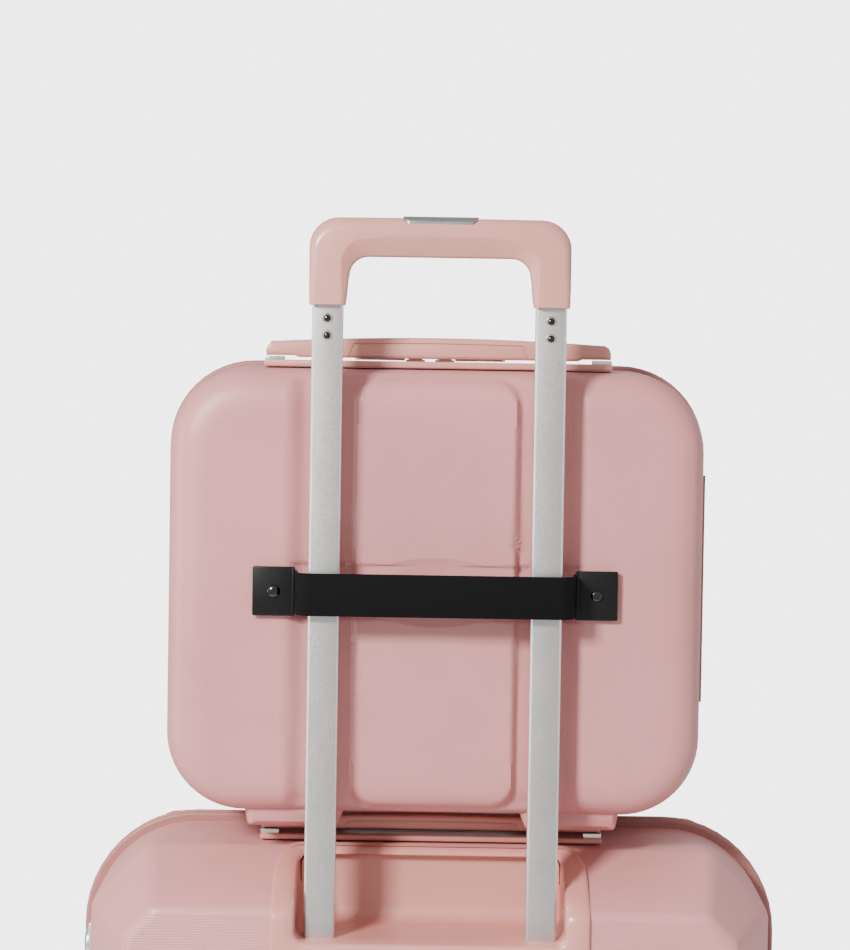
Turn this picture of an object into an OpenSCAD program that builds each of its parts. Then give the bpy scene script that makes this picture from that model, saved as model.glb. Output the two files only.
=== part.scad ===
// Hard shell suitcase on spinner wheels, with a small carry case strapped to its trolley handle.
// Millimetres, Z up. The floor is z = 0, the trolley handle is on the -Y side and the lid
// hinges on the +X side. The suitcase lid is the +Y half.

/* [Suitcase] */
// Width over the rim
suitcase_w = 431; // [386:1:518]
// Depth from the rear face to the front face
suitcase_d = 262; // [236:1:316]
// Height over the rim, without the wheels
suitcase_h = 586; // [490:1:710]
// Corner radius of the rim
corner_r = 70; // [50:1:88]
// Thickness of the shell wall
shell_wall = 2.5; // [2:0.1:3.5]
// How far the rim stands out past the shell
rim_proud = 6; // [4:0.5:8]
// Depth of each rim half, along Y
rim_depth = 6; // [4:0.5:8]
// Distance from the rim plane to the crease where the chamfer starts
crease_y = 62; // [50:1:75]
// Inset of the shell at the crease
crease_inset = 10.5; // [8:0.5:14]
// Inset of the shell at its flat face
face_inset = 36.5; // [28:0.5:44]
// Thickness of the lining
lining_t = 1.2; // [0.8:0.1:2]
// Length of the hinge tape
hinge_h = 300; // [200:5:340]

/* [Casters] */
// Wheel diameter
wheel_dia = 44; // [38:1:46]
// Width of one wheel, of the two in each caster
wheel_w = 11; // [8:0.5:13]
// Space from the floor to the lowest point of the rim
wheel_gap = 50; // [48:1:60]
// Distance from the swivel axis to the wheel axle
caster_trail = 14; // [8:1:16]
// Distance of each swivel axis in from the side of the rim
caster_in_x = 55; // [46:1:60]
// Distance of each swivel axis in from the flat face
caster_in_y = 47; // [42:1:55]
// Radius of the caster's seat in the shell
caster_seat_r = 28; // [22:1:30]
// Axle diameter
axle_dia = 5; // [4:0.5:6]
// Swivel stem diameter
stem_dia = 10; // [8:0.5:12]

/* [Trolley handle] */
// Width of one sliding tube
tube_w = 18; // [14:0.5:22]
// Depth of one sliding tube
tube_d = 12; // [10:0.5:14]
// Distance between the centres of the two tubes
tube_spacing = 130; // [110:1:150]
// Wall thickness of the tubes
tube_wall = 1; // [0.8:0.1:1.5]
// Length of tube seen above the pocket floor
tube_out = 369.8; // [300:0.1:400]
// Length of tube that stays in the guide tube when pulled out
tube_stay = 90; // [60:1:110]
// Width over the grip
grip_w = 152; // [138:1:170]
// Height of the grip from its leg ends to its top
grip_h = 50.8; // [44:0.1:56]
// Height of the grip's bar
grip_bar_h = 24; // [20:1:28]
// Depth of the grip
grip_d = 22; // [18:1:24]
// Width of the button
button_w = 44; // [30:1:52]
// Depth of the button
button_d = 8; // [6:0.5:10]
// Height the button stands above the grip
button_proud = 1; // [0.5:0.1:2]
// Travel of the button
button_travel = 3; // [2:0.5:4]
// Distance from the suitcase's rear face to the middle of the tubes
tube_in = 19; // [17:0.5:24]

/* [Handle pocket] */
// Width over the pocket's frame
frame_w = 186; // [176:1:210]
// Width of the frame's border on each side
frame_border = 14; // [8:0.5:18]
// Depth of the pocket floor below the ridge of the rim
pocket_drop = 55; // [50:1:70]
// Thickness of the pocket floor
pocket_floor_t = 20; // [10:1:24]
// Distance of the pocket's front edge from the rim plane
frame_front_y = 60; // [50:1:70]

/* [Carry case] */
// Width over the rim
case_w = 328; // [280:1:380]
// Depth of the carry case
case_d = 155; // [130:1:175]
// Height over the rim
case_h = 273.8; // [230:0.1:310]
// Corner radius of the rim
case_corner_r = 52; // [35:1:60]
// Depth of the channels that the tubes run in
channel_d = 5; // [3:0.5:7]
// Width of each channel
channel_w = 40; // [34:1:46]
// Length of the carry case's hinge tape
case_hinge_h = 140; // [80:5:150]
// How far the rim stands out past the shell
case_rim_proud = 3; // [2:0.5:5]
// Depth of each rim half, along Y
case_rim_depth = 5; // [4:0.5:7]
// Height of the feet under the rim
case_foot_h = 3.8; // [2:0.2:12]
// Width of each foot at its bottom
case_foot_w = 49; // [36:1:60]
// Distance of each foot's middle from the middle of the case
case_foot_x = 83; // [64:1:95]
// Distance of the rear feet in from the case's back
rear_foot_in = 14; // [4:1:24]
// Height of the strap
strap_h = 25; // [18:1:35]
// Thickness of the strap
strap_t = 2; // [1:0.1:3]
// Height of the strap's middle above the bottom of the rim
strap_up = 138; // [110:1:160]

/* [Carry handles] */
// Length of a carry handle
carry_l = 206; // [170:1:230]
// Width of a carry handle
carry_w = 20; // [16:1:26]
// Height of the suitcase's carry handles above their base
carry_h = 12.5; // [10:0.5:14]
// Height of the carry case's handle above its base
case_carry_h = 15; // [12:0.5:22]

/* [Fits] */
// Gap between faces of pieces that move past each other
run_gap = 0.3; // [0.3:0.05:0.6]
// Clearance round a sliding tube or a turning shaft, on each side
shaft_fit = 0.05; // [0.02:0.01:0.1]
// Gap on each side of the sliding tubes in their guide tubes
tube_fit = 0.1; // [0.05:0.05:0.3]
// Height of the carry case's feet above the suitcase's rim
dock_gap = 4.8; // [0.6:0.1:6]

/* [Hidden] */
eps = 0.01;
half_w = suitcase_w / 2;
half_d = suitcase_d / 2;
ridge_z = wheel_gap + suitcase_h;
mid_z = wheel_gap + suitcase_h / 2;
zip_t = 1.6;
zip_gap = 0.15;
rim_w = rim_proud + shell_wall;
hinge_x = half_w + 0.5;
hinge_cord_r = 1.3;
lining_gap = 0.3;
lining_back = half_d - 34;
tube_x = tube_spacing / 2;
tube_y = -half_d + tube_in;
pocket_z = ridge_z - pocket_drop;
pocket_half = frame_w / 2 - frame_border;
pocket_back_y = -frame_front_y - 5;
guide_top = pocket_z - pocket_floor_t - 2;
screw_drops = [8, 18];
floor_clear = 1.6;
grip_z = pocket_z + tube_out;
grip_top = grip_z + grip_h;
grip_leg_w = tube_w + 2.5;
grip_socket = 12;
tube_low = pocket_z - tube_stay;
guide_low = 110;
caster_x = half_w - caster_in_x;
caster_y = half_d - caster_in_y;
axle_z = wheel_dia / 2;
fork_plate_t = 3;
fork_plate_z = wheel_dia + 3;
web_w = 7;
hub_r = 13.5;
seat_z = fork_plate_z + fork_plate_t + run_gap;
seat_top = seat_z + 42;
stem_h = 24;
fork_plate_r = 17;
cap_t = 1.5;
cap_gap = 2.5;
yoke_z = grip_top - 17;
yoke_t = 4;
rod_r = 2;
pin_r = 2;
pin_z = tube_low + 12;
carry_y = -(rim_depth + 36);
base_t = 3.5;
carry_seat = rim_proud + (-carry_y - rim_depth) * (crease_inset - rim_proud) / (crease_y - rim_depth);
carry_base_z = ridge_z - carry_seat + base_t;
side_base_x = half_w - carry_seat + base_t;
side_reach = side_base_x + carry_h;
lock_z = ridge_z - 77;
lock_y = -33;
lock_x = -half_w + rim_proud + 0.7;
dome_r = 10;
dome_h = 3;
dome_sink = 1.6;
lock_bore = 3;
lock_half_w = 12;
lock_above = 14;
lock_below = 71;
tongue_y = -29;
case_base_z = ridge_z + dock_gap + case_foot_h;
case_mid_z = case_base_z + case_h / 2;
case_top_z = case_base_z + case_h;
case_back_y = tube_y + tube_d / 2 + 6.5;
case_mid_y = case_back_y + case_d / 2;
case_half = case_w / 2;
case_half_d = case_d / 2;
case_wall = 2.2;
case_hinge_x = case_half + 0.5;
case_carry_y = -case_half_d + 37;
case_carry_base_z = case_top_z - case_rim_proud - 1 + base_t;
foot_rise = 22;
foot_slope = 0.48;
rear_foot_l = 28;
front_foot_in = 10;
front_foot_l = 60;
pull_l = 30;
slider_l = 12;
slider_x = [-14, 4];
strap_z = case_base_z + strap_up;
strap_in = grip_w / 2 + 4.4;
strap_back_y = tube_y - grip_d / 2 - 2;
plate_in = strap_in + strap_t;
plate_w = 25;
plate_h = 29;
plate_t = 3;
screw_r = 1.5;
side_foot_y = -crease_y + 2;
side_foot_l = 32;
side_foot_h = 44;
foot_gap_z = 40;

pink = "#d0adad";
rim_pink = "#c98d86";
gloss_black = "#2c2c2e";
soft_black = "#202022";
steel = "#c4c2bf";
nickel = "#8f8984";
cloth_grey = "#8d8688";
bronze = "#b9a892";

// ---- shared shapes ----

// Rounded rectangle, centred
module rounded_rect(w, h, r) {
    square([w - 2 * r, h], center = true);
    square([w, h - 2 * r], center = true);
    for (x = [-1, 1], y = [-1, 1])
        translate([x * (w / 2 - r), y * (h / 2 - r)]) circle(r);
}

// Stands a drawing in X and Z upright, from y0 to y1
module upright(y0, y1) {
    translate([0, y1, 0]) rotate([90, 0, 0]) linear_extrude(y1 - y0) children();
}

// A box between two corners
module block(low, high) {
    translate(low) cube(high - low);
}

// The suitcase's outline, drawn in by the inset
module outline(inset) {
    translate([0, mid_z])
        rounded_rect(suitcase_w - 2 * inset, suitcase_h - 2 * inset, corner_r - inset);
}

// Inset of the chamfered part of the shell at a distance from the rim plane
function chamfer_inset(y) =
    crease_inset + (y - crease_y) * (face_inset - crease_inset) / (half_d - crease_y);

// The rear half's form, shrunk by a wall, from the rim to a back plane
module shell_form(shrink, start, back) {
    hull() {
        upright(-start - eps, -start) outline(rim_proud + shrink, $fn = 32);
        upright(-crease_y - eps, -crease_y) outline(crease_inset + shrink, $fn = 32);
        upright(-back, -back + eps) outline(chamfer_inset(back) + shrink, $fn = 32);
    }
}

// Ring along the suitcase's outline, between two insets
module outline_ring(y0, y1, outer, inner) {
    upright(y0, y1) difference() {
        outline(outer, $fn = 96);
        outline(inner, $fn = 96);
    }
}

// The seat of one pair of casters, grown by a gap, on the rear half
module caster_seats(grow) {
    for (x = [-1, 1])
        translate([x * caster_x, -caster_y, seat_z])
            cylinder(r = caster_seat_r + grow, h = seat_top - seat_z + grow, $fn = 64);
}

module half_shell() {
    shell_form(0, rim_depth, half_d);
}

module half_cavity() {
    shell_form(shell_wall, rim_depth - 1, half_d - shell_wall);
}

// Box round the handle pocket's frame
module frame_block(grow) {
    block([-frame_w / 2 - grow, -half_d - 1, pocket_z - pocket_floor_t - grow],
        [frame_w / 2 + grow, -frame_front_y + grow, ridge_z]);
}

module lining_tray() {
    difference() {
        shell_form(shell_wall + lining_gap, rim_depth, lining_back);
        shell_form(shell_wall + lining_gap + lining_t, rim_depth - 1, lining_back - lining_t);
        caster_seats(lining_gap);
        children();
    }
}

module rim_half() {
    difference() {
        outline_ring(-rim_depth, -zip_t, 0, rim_w);
        children();
    }
}

// The zip runs round the rim and leaves the hinge tape's length free
module zipper_half() {
    difference() {
        outline_ring(-zip_t, -zip_gap, 0.5, rim_proud);
        hinge_zone(1);
    }
}

module hinge_zone(grow) {
    block([half_w - 20, -5, mid_z - hinge_h / 2 - grow], [half_w + 5, 5, mid_z + hinge_h / 2 + grow]);
}

// ---- suitcase, rear half ----

module rear_shell() {
    color(pink) difference() {
        half_shell();
        half_cavity();
        frame_block(0);
        caster_seats(0);
        lock_button_bore();
    }
}

module rear_rim() {
    color(rim_pink) rim_half();
}

module rear_zipper() {
    color(rim_pink) zipper_half();
}

module rear_lining() {
    color(cloth_grey) lining_tray() frame_block(lining_gap);
}

// The frame round the handle pocket, flush with the shell, with the two tube openings
module handle_housing() {
    color(pink) difference() {
        intersection() {
            half_shell();
            frame_block(0);
        }
        block([-pocket_half, -half_d - 1, pocket_z], [pocket_half, pocket_back_y, ridge_z]);
        for (x = [-tube_x, tube_x])
            tube_outline(x, pocket_z - pocket_floor_t - 1, pocket_z + 1, floor_clear);
    }
}

// A box with the sliding tube's section, grown on each side
module tube_outline(x, z0, z1, grow) {
    w = tube_w / 2 + grow;
    d = tube_d / 2 + grow;
    block([x - w, tube_y - d, z0], [x + w, tube_y + d, z1]);
}

// Guide tubes, each with the slot that its lock pin runs in
module outer_tubes() {
    color(steel) for (x = [-tube_x, tube_x]) difference() {
        tube_outline(x, guide_low, guide_top, tube_fit + tube_wall);
        tube_outline(x, guide_low - 1, guide_top + 1, tube_fit);
        block([x - pin_r - 0.5, tube_y, guide_low + 6],
            [x + pin_r + 0.5, tube_y + tube_d, guide_top - 4]);
    }
}

module tube_foot_bracket() {
    color(gloss_black) difference() {
        block([-tube_x - 20, -half_d + shell_wall, guide_low - 14],
            [tube_x + 20, tube_y + tube_d / 2 + 5, guide_low]);
        block([-tube_x + 20, -half_d + shell_wall + 4, guide_low - 15],
            [tube_x - 20, tube_y + tube_d / 2 + 1, guide_low + 1]);
    }
}

// A carry handle's base plate, top face at z = 0
module carry_base(depth) {
    block([-carry_l / 2 - 1, -carry_w / 2 - 2, -depth], [carry_l / 2 + 1, carry_w / 2 + 2, 0]);
}

// A carry handle's two end brackets, on z = 0
module carry_brackets() {
    for (x = [-1, 1]) translate([x * (carry_l / 2 - 7), 0, 0])
        block([-5, -carry_w / 2 + 3, 0], [5, carry_w / 2 - 3, 3]);
}

// A carry handle's grip, whose base is at z = 0
module carry_grip(height) {
    end = carry_l / 2;
    low = 3 + run_gap;
    upright(-carry_w / 2, carry_w / 2) difference() {
        polygon([[-end, low], [-end, height - 5], [-end + 9, height], [end - 9, height],
            [end, height - 5], [end, low]]);
        polygon([[-end + 15, 0], [-end + 18, height - 6.5], [end - 18, height - 6.5],
            [end - 15, 0]]);
    }
}

// Places a carry handle on top of the suitcase
module on_top() {
    translate([0, carry_y, carry_base_z]) children();
}

// Places a carry handle on the side of the suitcase
module on_side() {
    translate([-side_base_x, carry_y, mid_z]) rotate([0, -90, 0]) children();
}

module handle_bases() {
    color(pink) difference() {
        union() {
            on_top() carry_base(base_t + 4);
            on_side() carry_base(base_t + 4);
        }
        half_shell();
    }
}

module handle_brackets() {
    color(steel) {
        on_top() carry_brackets();
        on_side() carry_brackets();
    }
}

module top_handle_grip() {
    color(pink) on_top() carry_grip(carry_h);
}

module side_handle_grip() {
    color(pink) on_side() carry_grip(carry_h);
}

// Lock plate on the side, where the zip pulls dock
module lock_body() {
    color(steel) difference() {
        block([lock_x, lock_y - lock_half_w, lock_z - lock_below],
            [-half_w + rim_proud + 4, lock_y + lock_half_w, lock_z + lock_above]);
        half_shell();
        lock_button_bore();
    }
}

// The round seat that the lock's button is pressed into
module lock_button_bore() {
    rotate_to_side(lock_z, lock_y) translate([0, 0, -lock_bore])
        cylinder(r = dome_r + shaft_fit, h = lock_bore + dome_h);
}

// Points a shape's +Z out of the suitcase's left side, from the lock plate
module rotate_to_side(z, y) {
    translate([lock_x, y, z]) rotate([0, -90, 0]) children($fn = 64);
}

module lock_button() {
    color(steel) rotate_to_side(lock_z, lock_y) {
        translate([0, 0, -dome_sink]) cylinder(r = dome_r, h = dome_sink);
        cylinder(r1 = dome_r, r2 = dome_r - 4, h = dome_h);
    }
}

// A zip slider on the left side with its pull docked over the lock plate
module side_slider(z) {
    color(nickel) {
        block([-half_w - 4.5, -4, z - 6], [-half_w - run_gap, 4, z + 6]);
        tongue_in = -half_w + rim_proud - run_gap;
        translate([0, 0, z - 3]) linear_extrude(6) polygon([[-half_w - 3.6, -3], [-half_w - run_gap, -3],
            [-half_w - run_gap, -rim_depth - 1], [tongue_in, -rim_depth - 7], [tongue_in, tongue_y],
            [tongue_in - 2.2, tongue_y], [tongue_in - 2.2, -rim_depth - 7], [-half_w - 3.6, -rim_depth - 1]]);
    }
}

module suitcase_slider_upper() {
    side_slider(lock_z - 32);
}

module suitcase_slider_lower() {
    side_slider(lock_z - 52);
}

// Cord and tape along the hinge side
module hinge_band() {
    color(cloth_grey) {
        translate([hinge_x, 0, mid_z - hinge_h / 2]) cylinder(r = hinge_cord_r, h = hinge_h, $fn = 48);
        block([half_w - rim_proud, -zip_t, mid_z - hinge_h / 2],
            [hinge_x, -zip_t + 0.9, mid_z + hinge_h / 2]);
    }
}

module caster_housings() {
    color(soft_black) difference() {
        caster_seats(0);
        for (x = [-1, 1]) translate([x * caster_x, -caster_y, seat_z - 1])
            cylinder(d = stem_dia + 2 * shaft_fit, h = stem_h + 2, $fn = 64);
    }
}

module rear_caster_housings() {
    caster_housings();
}

// Feet for standing the suitcase on its hinge side
module side_feet() {
    color(soft_black) difference() {
        for (z = [wheel_gap + corner_r + foot_gap_z, ridge_z - corner_r - foot_gap_z])
            block([half_w - 30, side_foot_y, z - side_foot_h / 2],
                [side_reach, side_foot_y + side_foot_l, z + side_foot_h / 2]);
        half_shell();
    }
}

// ---- suitcase, front half ----

module to_front() {
    mirror([0, 1, 0]) children();
}

module front_shell() {
    color(pink) to_front() difference() {
        half_shell();
        half_cavity();
        caster_seats(0);
    }
}

module front_rim() {
    color(rim_pink) to_front() rim_half();
}

module front_zipper() {
    color(rim_pink) to_front() zipper_half();
}

module front_lining() {
    color(cloth_grey) to_front() lining_tray();
}

module front_caster_housings() {
    to_front() caster_housings();
}

// ---- casters ----

// Places a caster by its side and its end
module at_caster(x, y) {
    translate([x * caster_x, y * caster_y, 0]) children();
}

// Swivel plate, stem, web and pressed axle of one caster
module caster_fork(x, y) {
    color(soft_black) at_caster(x, y) {
        translate([0, 0, fork_plate_z]) cylinder(r = fork_plate_r, h = fork_plate_t, $fn = 64);
        translate([0, 0, fork_plate_z]) cylinder(d = stem_dia, h = stem_h, $fn = 64);
        block([-web_w / 2, -caster_trail - 8, axle_z - 7], [web_w / 2, 8, fork_plate_z]);
        translate([-web_w / 2 - wheel_w - cap_gap, -caster_trail, axle_z]) rotate([0, 90, 0])
            cylinder(d = axle_dia, h = web_w + 2 * wheel_w + 2 * cap_gap, $fn = 64);
        for (s = [-1, 1]) translate([s * (web_w / 2 + wheel_w + cap_gap) - cap_t / 2, -caster_trail, axle_z])
            rotate([0, 90, 0]) cylinder(d = axle_dia + 4, h = cap_t, $fn = 64);
    }
}

// A ring round the axle on both sides of the web
module wheel_rings(x, y, inner_r, outer_r, inset) {
    at_caster(x, y) for (s = [-1, 1])
        translate([s * (web_w / 2 + wheel_w / 2 + 2 * run_gap), -caster_trail, axle_z]) rotate([0, 90, 0])
            difference() {
                cylinder(r = outer_r, h = wheel_w - 2 * inset, center = true, $fn = 96);
                cylinder(r = inner_r, h = wheel_w + 1, center = true, $fn = 96);
            }
}

module caster_hubs(x, y) {
    color(cloth_grey) wheel_rings(x, y, axle_dia / 2 + shaft_fit, hub_r, 0);
}

module caster_tyres(x, y) {
    color(soft_black) wheel_rings(x, y, hub_r, wheel_dia / 2, 0.4);
}

module caster_fork_rear_left() { caster_fork(-1, -1); }
module caster_fork_rear_right() { caster_fork(1, -1); }
module caster_fork_front_left() { caster_fork(-1, 1); }
module caster_fork_front_right() { caster_fork(1, 1); }
module caster_hubs_rear_left() { caster_hubs(-1, -1); }
module caster_hubs_rear_right() { caster_hubs(1, -1); }
module caster_hubs_front_left() { caster_hubs(-1, 1); }
module caster_hubs_front_right() { caster_hubs(1, 1); }
module caster_tyres_rear_left() { caster_tyres(-1, -1); }
module caster_tyres_rear_right() { caster_tyres(1, -1); }
module caster_tyres_front_left() { caster_tyres(-1, 1); }
module caster_tyres_front_right() { caster_tyres(1, 1); }

// ---- trolley handle ----

module inner_tube(x) {
    color(steel) difference() {
        block([x - tube_w / 2, tube_y - tube_d / 2, tube_low],
            [x + tube_w / 2, tube_y + tube_d / 2, grip_z + grip_socket]);
        block([x - tube_w / 2 + tube_wall, tube_y - tube_d / 2 + tube_wall, tube_low - 1],
            [x + tube_w / 2 - tube_wall, tube_y + tube_d / 2 - tube_wall, grip_top]);
        translate([x, tube_y, pin_z]) rotate([-90, 0, 0])
            cylinder(r = pin_r + shaft_fit, h = tube_d, $fn = 32);
    }
}

module inner_tube_left() { inner_tube(-tube_x); }
module inner_tube_right() { inner_tube(tube_x); }

// The grip's side outline with its hand opening
module grip_outline() {
    round_out = 17;
    round_in = 11;
    difference() {
        union() {
            translate([0, grip_z + grip_h / 2]) rounded_rect(grip_w, grip_h, round_out, $fn = 96);
            translate([-grip_w / 2, grip_z]) square([grip_w, grip_h / 2]);
        }
        translate([0, grip_z])
            rounded_rect(grip_w - 2 * grip_leg_w, 2 * (grip_h - grip_bar_h), round_in, $fn = 96);
    }
}

module trolley_grip() {
    color(pink) difference() {
        upright(tube_y - grip_d / 2, tube_y + grip_d / 2) grip_outline();
        for (x = [-tube_x, tube_x]) {
            block([x - tube_w / 2, tube_y - tube_d / 2, grip_z - 1],
                [x + tube_w / 2, tube_y + tube_d / 2, grip_z + grip_socket]);
            translate([x, tube_y, grip_z]) cylinder(r = rod_r + 1, h = grip_h - 16, $fn = 32);
        }
        block([-tube_x - 4, tube_y - 4.5, yoke_z - button_travel - 1],
            [tube_x + 4, tube_y + 4.5, yoke_z + yoke_t + run_gap]);
        button_form(run_gap, yoke_z + yoke_t, grip_top + 1);
    }
}

module button_form(grow, z0, z1) {
    translate([0, tube_y, z0]) linear_extrude(z1 - z0)
        rounded_rect(button_w + 2 * grow, button_d + 2 * grow, button_d / 2 + grow - eps, $fn = 64);
}

module grip_button() {
    color(nickel) button_form(0, yoke_z + yoke_t + run_gap, grip_top + button_proud);
}

// Screws through each tube, just below the grip
module grip_screws() {
    color(nickel) for (x = [-tube_x, tube_x], down = screw_drops)
        translate([x, tube_y - tube_d / 2, grip_z - down]) rotate([90, 0, 0])
            cylinder(r1 = 2.6, r2 = 1.6, h = 1.1, $fn = 48);
}

// Rods inside the tubes, joined by the yoke under the button
module release_rods() {
    color(nickel) {
        for (x = [-tube_x, tube_x]) translate([x, tube_y, pin_z + 8])
            cylinder(r = rod_r, h = yoke_z - pin_z - 8 + eps, $fn = 32);
        block([-tube_x - 3, tube_y - 3.5, yoke_z], [tube_x + 3, tube_y + 3.5, yoke_z + yoke_t]);
    }
}

module lock_pins() {
    color(nickel) for (x = [-tube_x, tube_x]) translate([x, tube_y - 1, pin_z]) rotate([-90, 0, 0])
        cylinder(r = pin_r, h = tube_d / 2 + tube_fit + tube_wall + 1, $fn = 32);
}

// ---- carry case ----

module case_outline(inset) {
    translate([0, case_mid_z])
        rounded_rect(case_w - 2 * inset, case_h - 2 * inset, case_corner_r - inset);
}

// The carry case's rear half about its own rim plane, shrunk by a wall
module case_form(shrink, start, back) {
    hull() {
        upright(-start - eps, -start) case_outline(case_rim_proud + shrink, $fn = 32);
        upright(-case_half_d + 20, -case_half_d + 20 + eps)
            case_outline(case_rim_proud + 2 + shrink, $fn = 32);
        upright(-back + 6, -back + 6 + eps) case_outline(case_rim_proud + 7 + shrink, $fn = 32);
        upright(-back, -back + eps) case_outline(case_rim_proud + 17 + shrink, $fn = 32);
    }
}

module at_case() {
    translate([0, case_mid_y, 0]) children();
}

module case_half_shell() {
    case_form(0, case_rim_depth, case_half_d);
}

module case_cavity() {
    case_form(case_wall, case_rim_depth - 1, case_half_d - channel_d - case_wall);
}

module strap_screw_holes(r) {
    for (x = [-1, 1]) translate([x * (plate_in + plate_w / 2), case_back_y - plate_t - strap_t, strap_z])
        rotate([-90, 0, 0]) cylinder(r = r, h = plate_t + strap_t + channel_d, $fn = 32);
}

// Rear half of the carry case, with the two channels for the trolley's tubes
module case_rear_shell() {
    color(pink) difference() {
        at_case() difference() {
            case_half_shell();
            case_cavity();
        }
        for (x = [-tube_x, tube_x])
            block([x - channel_w / 2, case_back_y - 1, case_base_z + 12],
                [x + channel_w / 2, case_back_y + channel_d, case_top_z - 12]);
        strap_screw_holes(screw_r);
    }
}

module case_rim_half() {
    difference() {
        upright(-case_rim_depth, -zip_gap) difference() {
            case_outline(0, $fn = 96);
            case_outline(case_rim_proud + case_wall, $fn = 96);
        }
        case_hinge_cord(hinge_cord_r + run_gap, 1);
    }
}

// The cord that the carry case's lid turns on, about its rim plane
module case_hinge_cord(r, longer) {
    translate([case_hinge_x, 0, case_mid_z - case_hinge_h / 2 - longer])
        cylinder(r = r, h = case_hinge_h + 2 * longer, $fn = 48);
}

module case_hinge_band() {
    color(cloth_grey) at_case() case_hinge_cord(hinge_cord_r, 0);
}

module case_rear_rim() {
    color(rim_pink) at_case() case_rim_half();
}

module case_rear_lining() {
    color(cloth_grey) at_case() difference() {
        case_form(case_wall + lining_gap, case_rim_depth, case_half_d - channel_d - case_wall - lining_gap);
        case_form(case_wall + lining_gap + lining_t, case_rim_depth - 1,
            case_half_d - channel_d - case_wall - lining_gap - lining_t);
    }
}

// One pair of feet under the carry case, narrowing downwards
module case_feet(y0, y1) {
    top_z = case_base_z + foot_rise;
    foot_z = ridge_z + dock_gap;
    half = case_foot_w / 2;
    flare = foot_slope * (top_z - foot_z);
    for (s = [-1, 1]) translate([s * case_foot_x, 0, 0]) upright(y0, y1)
        polygon([[-half, foot_z], [half, foot_z], [half + flare, top_z], [-half - flare, top_z]]);
}

module case_rear_feet() {
    color(pink) difference() {
        case_feet(case_back_y + rear_foot_in, case_back_y + rear_foot_in + rear_foot_l);
        at_case() case_half_shell();
    }
}

module case_front_feet() {
    color(pink) difference() {
        case_feet(case_mid_y + front_foot_in, case_mid_y + front_foot_in + front_foot_l);
        at_case() to_front() case_half_shell();
    }
}

// Elastic strap, screwed to the case at both ends and open round the tubes
module case_strap() {
    color(soft_black) difference() {
        translate([0, 0, strap_z - strap_h / 2]) linear_extrude(strap_h) {
            for (m = [0, 1]) mirror([m, 0]) {
                translate([-strap_in - strap_t, strap_back_y - strap_t])
                    square([strap_t, case_back_y - strap_back_y + strap_t]);
                translate([-plate_in - plate_w + 2, case_back_y - strap_t])
                    square([plate_w, strap_t]);
            }
            translate([-strap_in - strap_t, strap_back_y - strap_t])
                square([2 * (strap_in + strap_t), strap_t]);
        }
        strap_screw_holes(screw_r);
    }
}

module strap_plates() {
    color(gloss_black) difference() {
        for (x = [-1, 1]) translate([x * (plate_in + plate_w / 2), 0, strap_z])
            block([-plate_w / 2, case_back_y - strap_t - plate_t, -plate_h / 2],
                [plate_w / 2, case_back_y - strap_t, plate_h / 2]);
        strap_screw_holes(screw_r);
    }
}

module strap_screws() {
    color(gloss_black) {
        strap_screw_holes(screw_r);
        for (x = [-1, 1])
            translate([x * (plate_in + plate_w / 2), case_back_y - plate_t - strap_t, strap_z])
                rotate([90, 0, 0]) cylinder(r1 = 3.75, r2 = 2.6, h = 1.8, $fn = 48);
    }
}

module on_case() {
    translate([0, case_mid_y + case_carry_y, case_carry_base_z]) children();
}

module case_handle_base() {
    color(steel) {
        difference() {
            on_case() carry_base(base_t + 4);
            at_case() case_half_shell();
        }
        on_case() carry_brackets();
    }
}

module case_handle_grip() {
    color(pink) on_case() carry_grip(case_carry_h);
}

module case_front_shell() {
    color(pink) at_case() to_front() difference() {
        case_half_shell();
        case_form(case_wall, case_rim_depth - 1, case_half_d - case_wall);
    }
}

module case_front_rim() {
    color(rim_pink) at_case() to_front() case_rim_half();
}

// A zip slider on top of the carry case
module case_slider(x) {
    color(bronze) translate([x, case_mid_y, case_top_z + run_gap])
        block([-slider_l / 2, -4, 0], [slider_l / 2, 4, 3]);
}

// A zip pull that lies along the rim, hinged at its slider
module case_pull(x, s) {
    thick = 1.8;
    pivot = s * (slider_l / 2 + run_gap + thick / 2);
    color(bronze) translate([x + pivot, case_mid_y - 3, case_top_z + run_gap + 1.5]) {
        rotate([-90, 0, 0]) cylinder(d = thick, h = 6, $fn = 48);
        block([s > 0 ? 0 : -pull_l, 0, -thick / 2], [s > 0 ? pull_l : 0, 6, thick / 2]);
    }
}

module case_slider_left() { case_slider(slider_x[0]); }
module case_slider_right() { case_slider(slider_x[1]); }
module case_pull_left() { case_pull(slider_x[0], -1); }
module case_pull_right() { case_pull(slider_x[1], 1); }

rear_shell();
rear_rim();
rear_zipper();
rear_lining();
handle_housing();
outer_tubes();
tube_foot_bracket();
handle_bases();
handle_brackets();
lock_body();
hinge_band();
rear_caster_housings();
side_feet();
front_shell();
front_rim();
front_zipper();
front_lining();
front_caster_housings();
top_handle_grip();
side_handle_grip();
lock_button();
suitcase_slider_upper();
suitcase_slider_lower();
inner_tube_left();
inner_tube_right();
trolley_grip();
grip_screws();
grip_button();
release_rods();
lock_pins();
caster_fork_rear_left();
caster_fork_rear_right();
caster_fork_front_left();
caster_fork_front_right();
caster_hubs_rear_left();
caster_hubs_rear_right();
caster_hubs_front_left();
caster_hubs_front_right();
caster_tyres_rear_left();
caster_tyres_rear_right();
caster_tyres_front_left();
caster_tyres_front_right();
case_rear_shell();
case_rear_rim();
case_rear_lining();
case_rear_feet();
case_strap();
strap_plates();
strap_screws();
case_handle_base();
case_handle_grip();
case_front_shell();
case_front_rim();
case_front_feet();
case_slider_left();
case_slider_right();
case_pull_left();
case_pull_right();
case_hinge_band();
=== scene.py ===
# Hard shell suitcase on spinner wheels with a carry case strapped to its trolley handle.
# Metres, Z up. The trolley handle is on the -Y side and the lid hinges on the +X side.
import math

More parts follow.
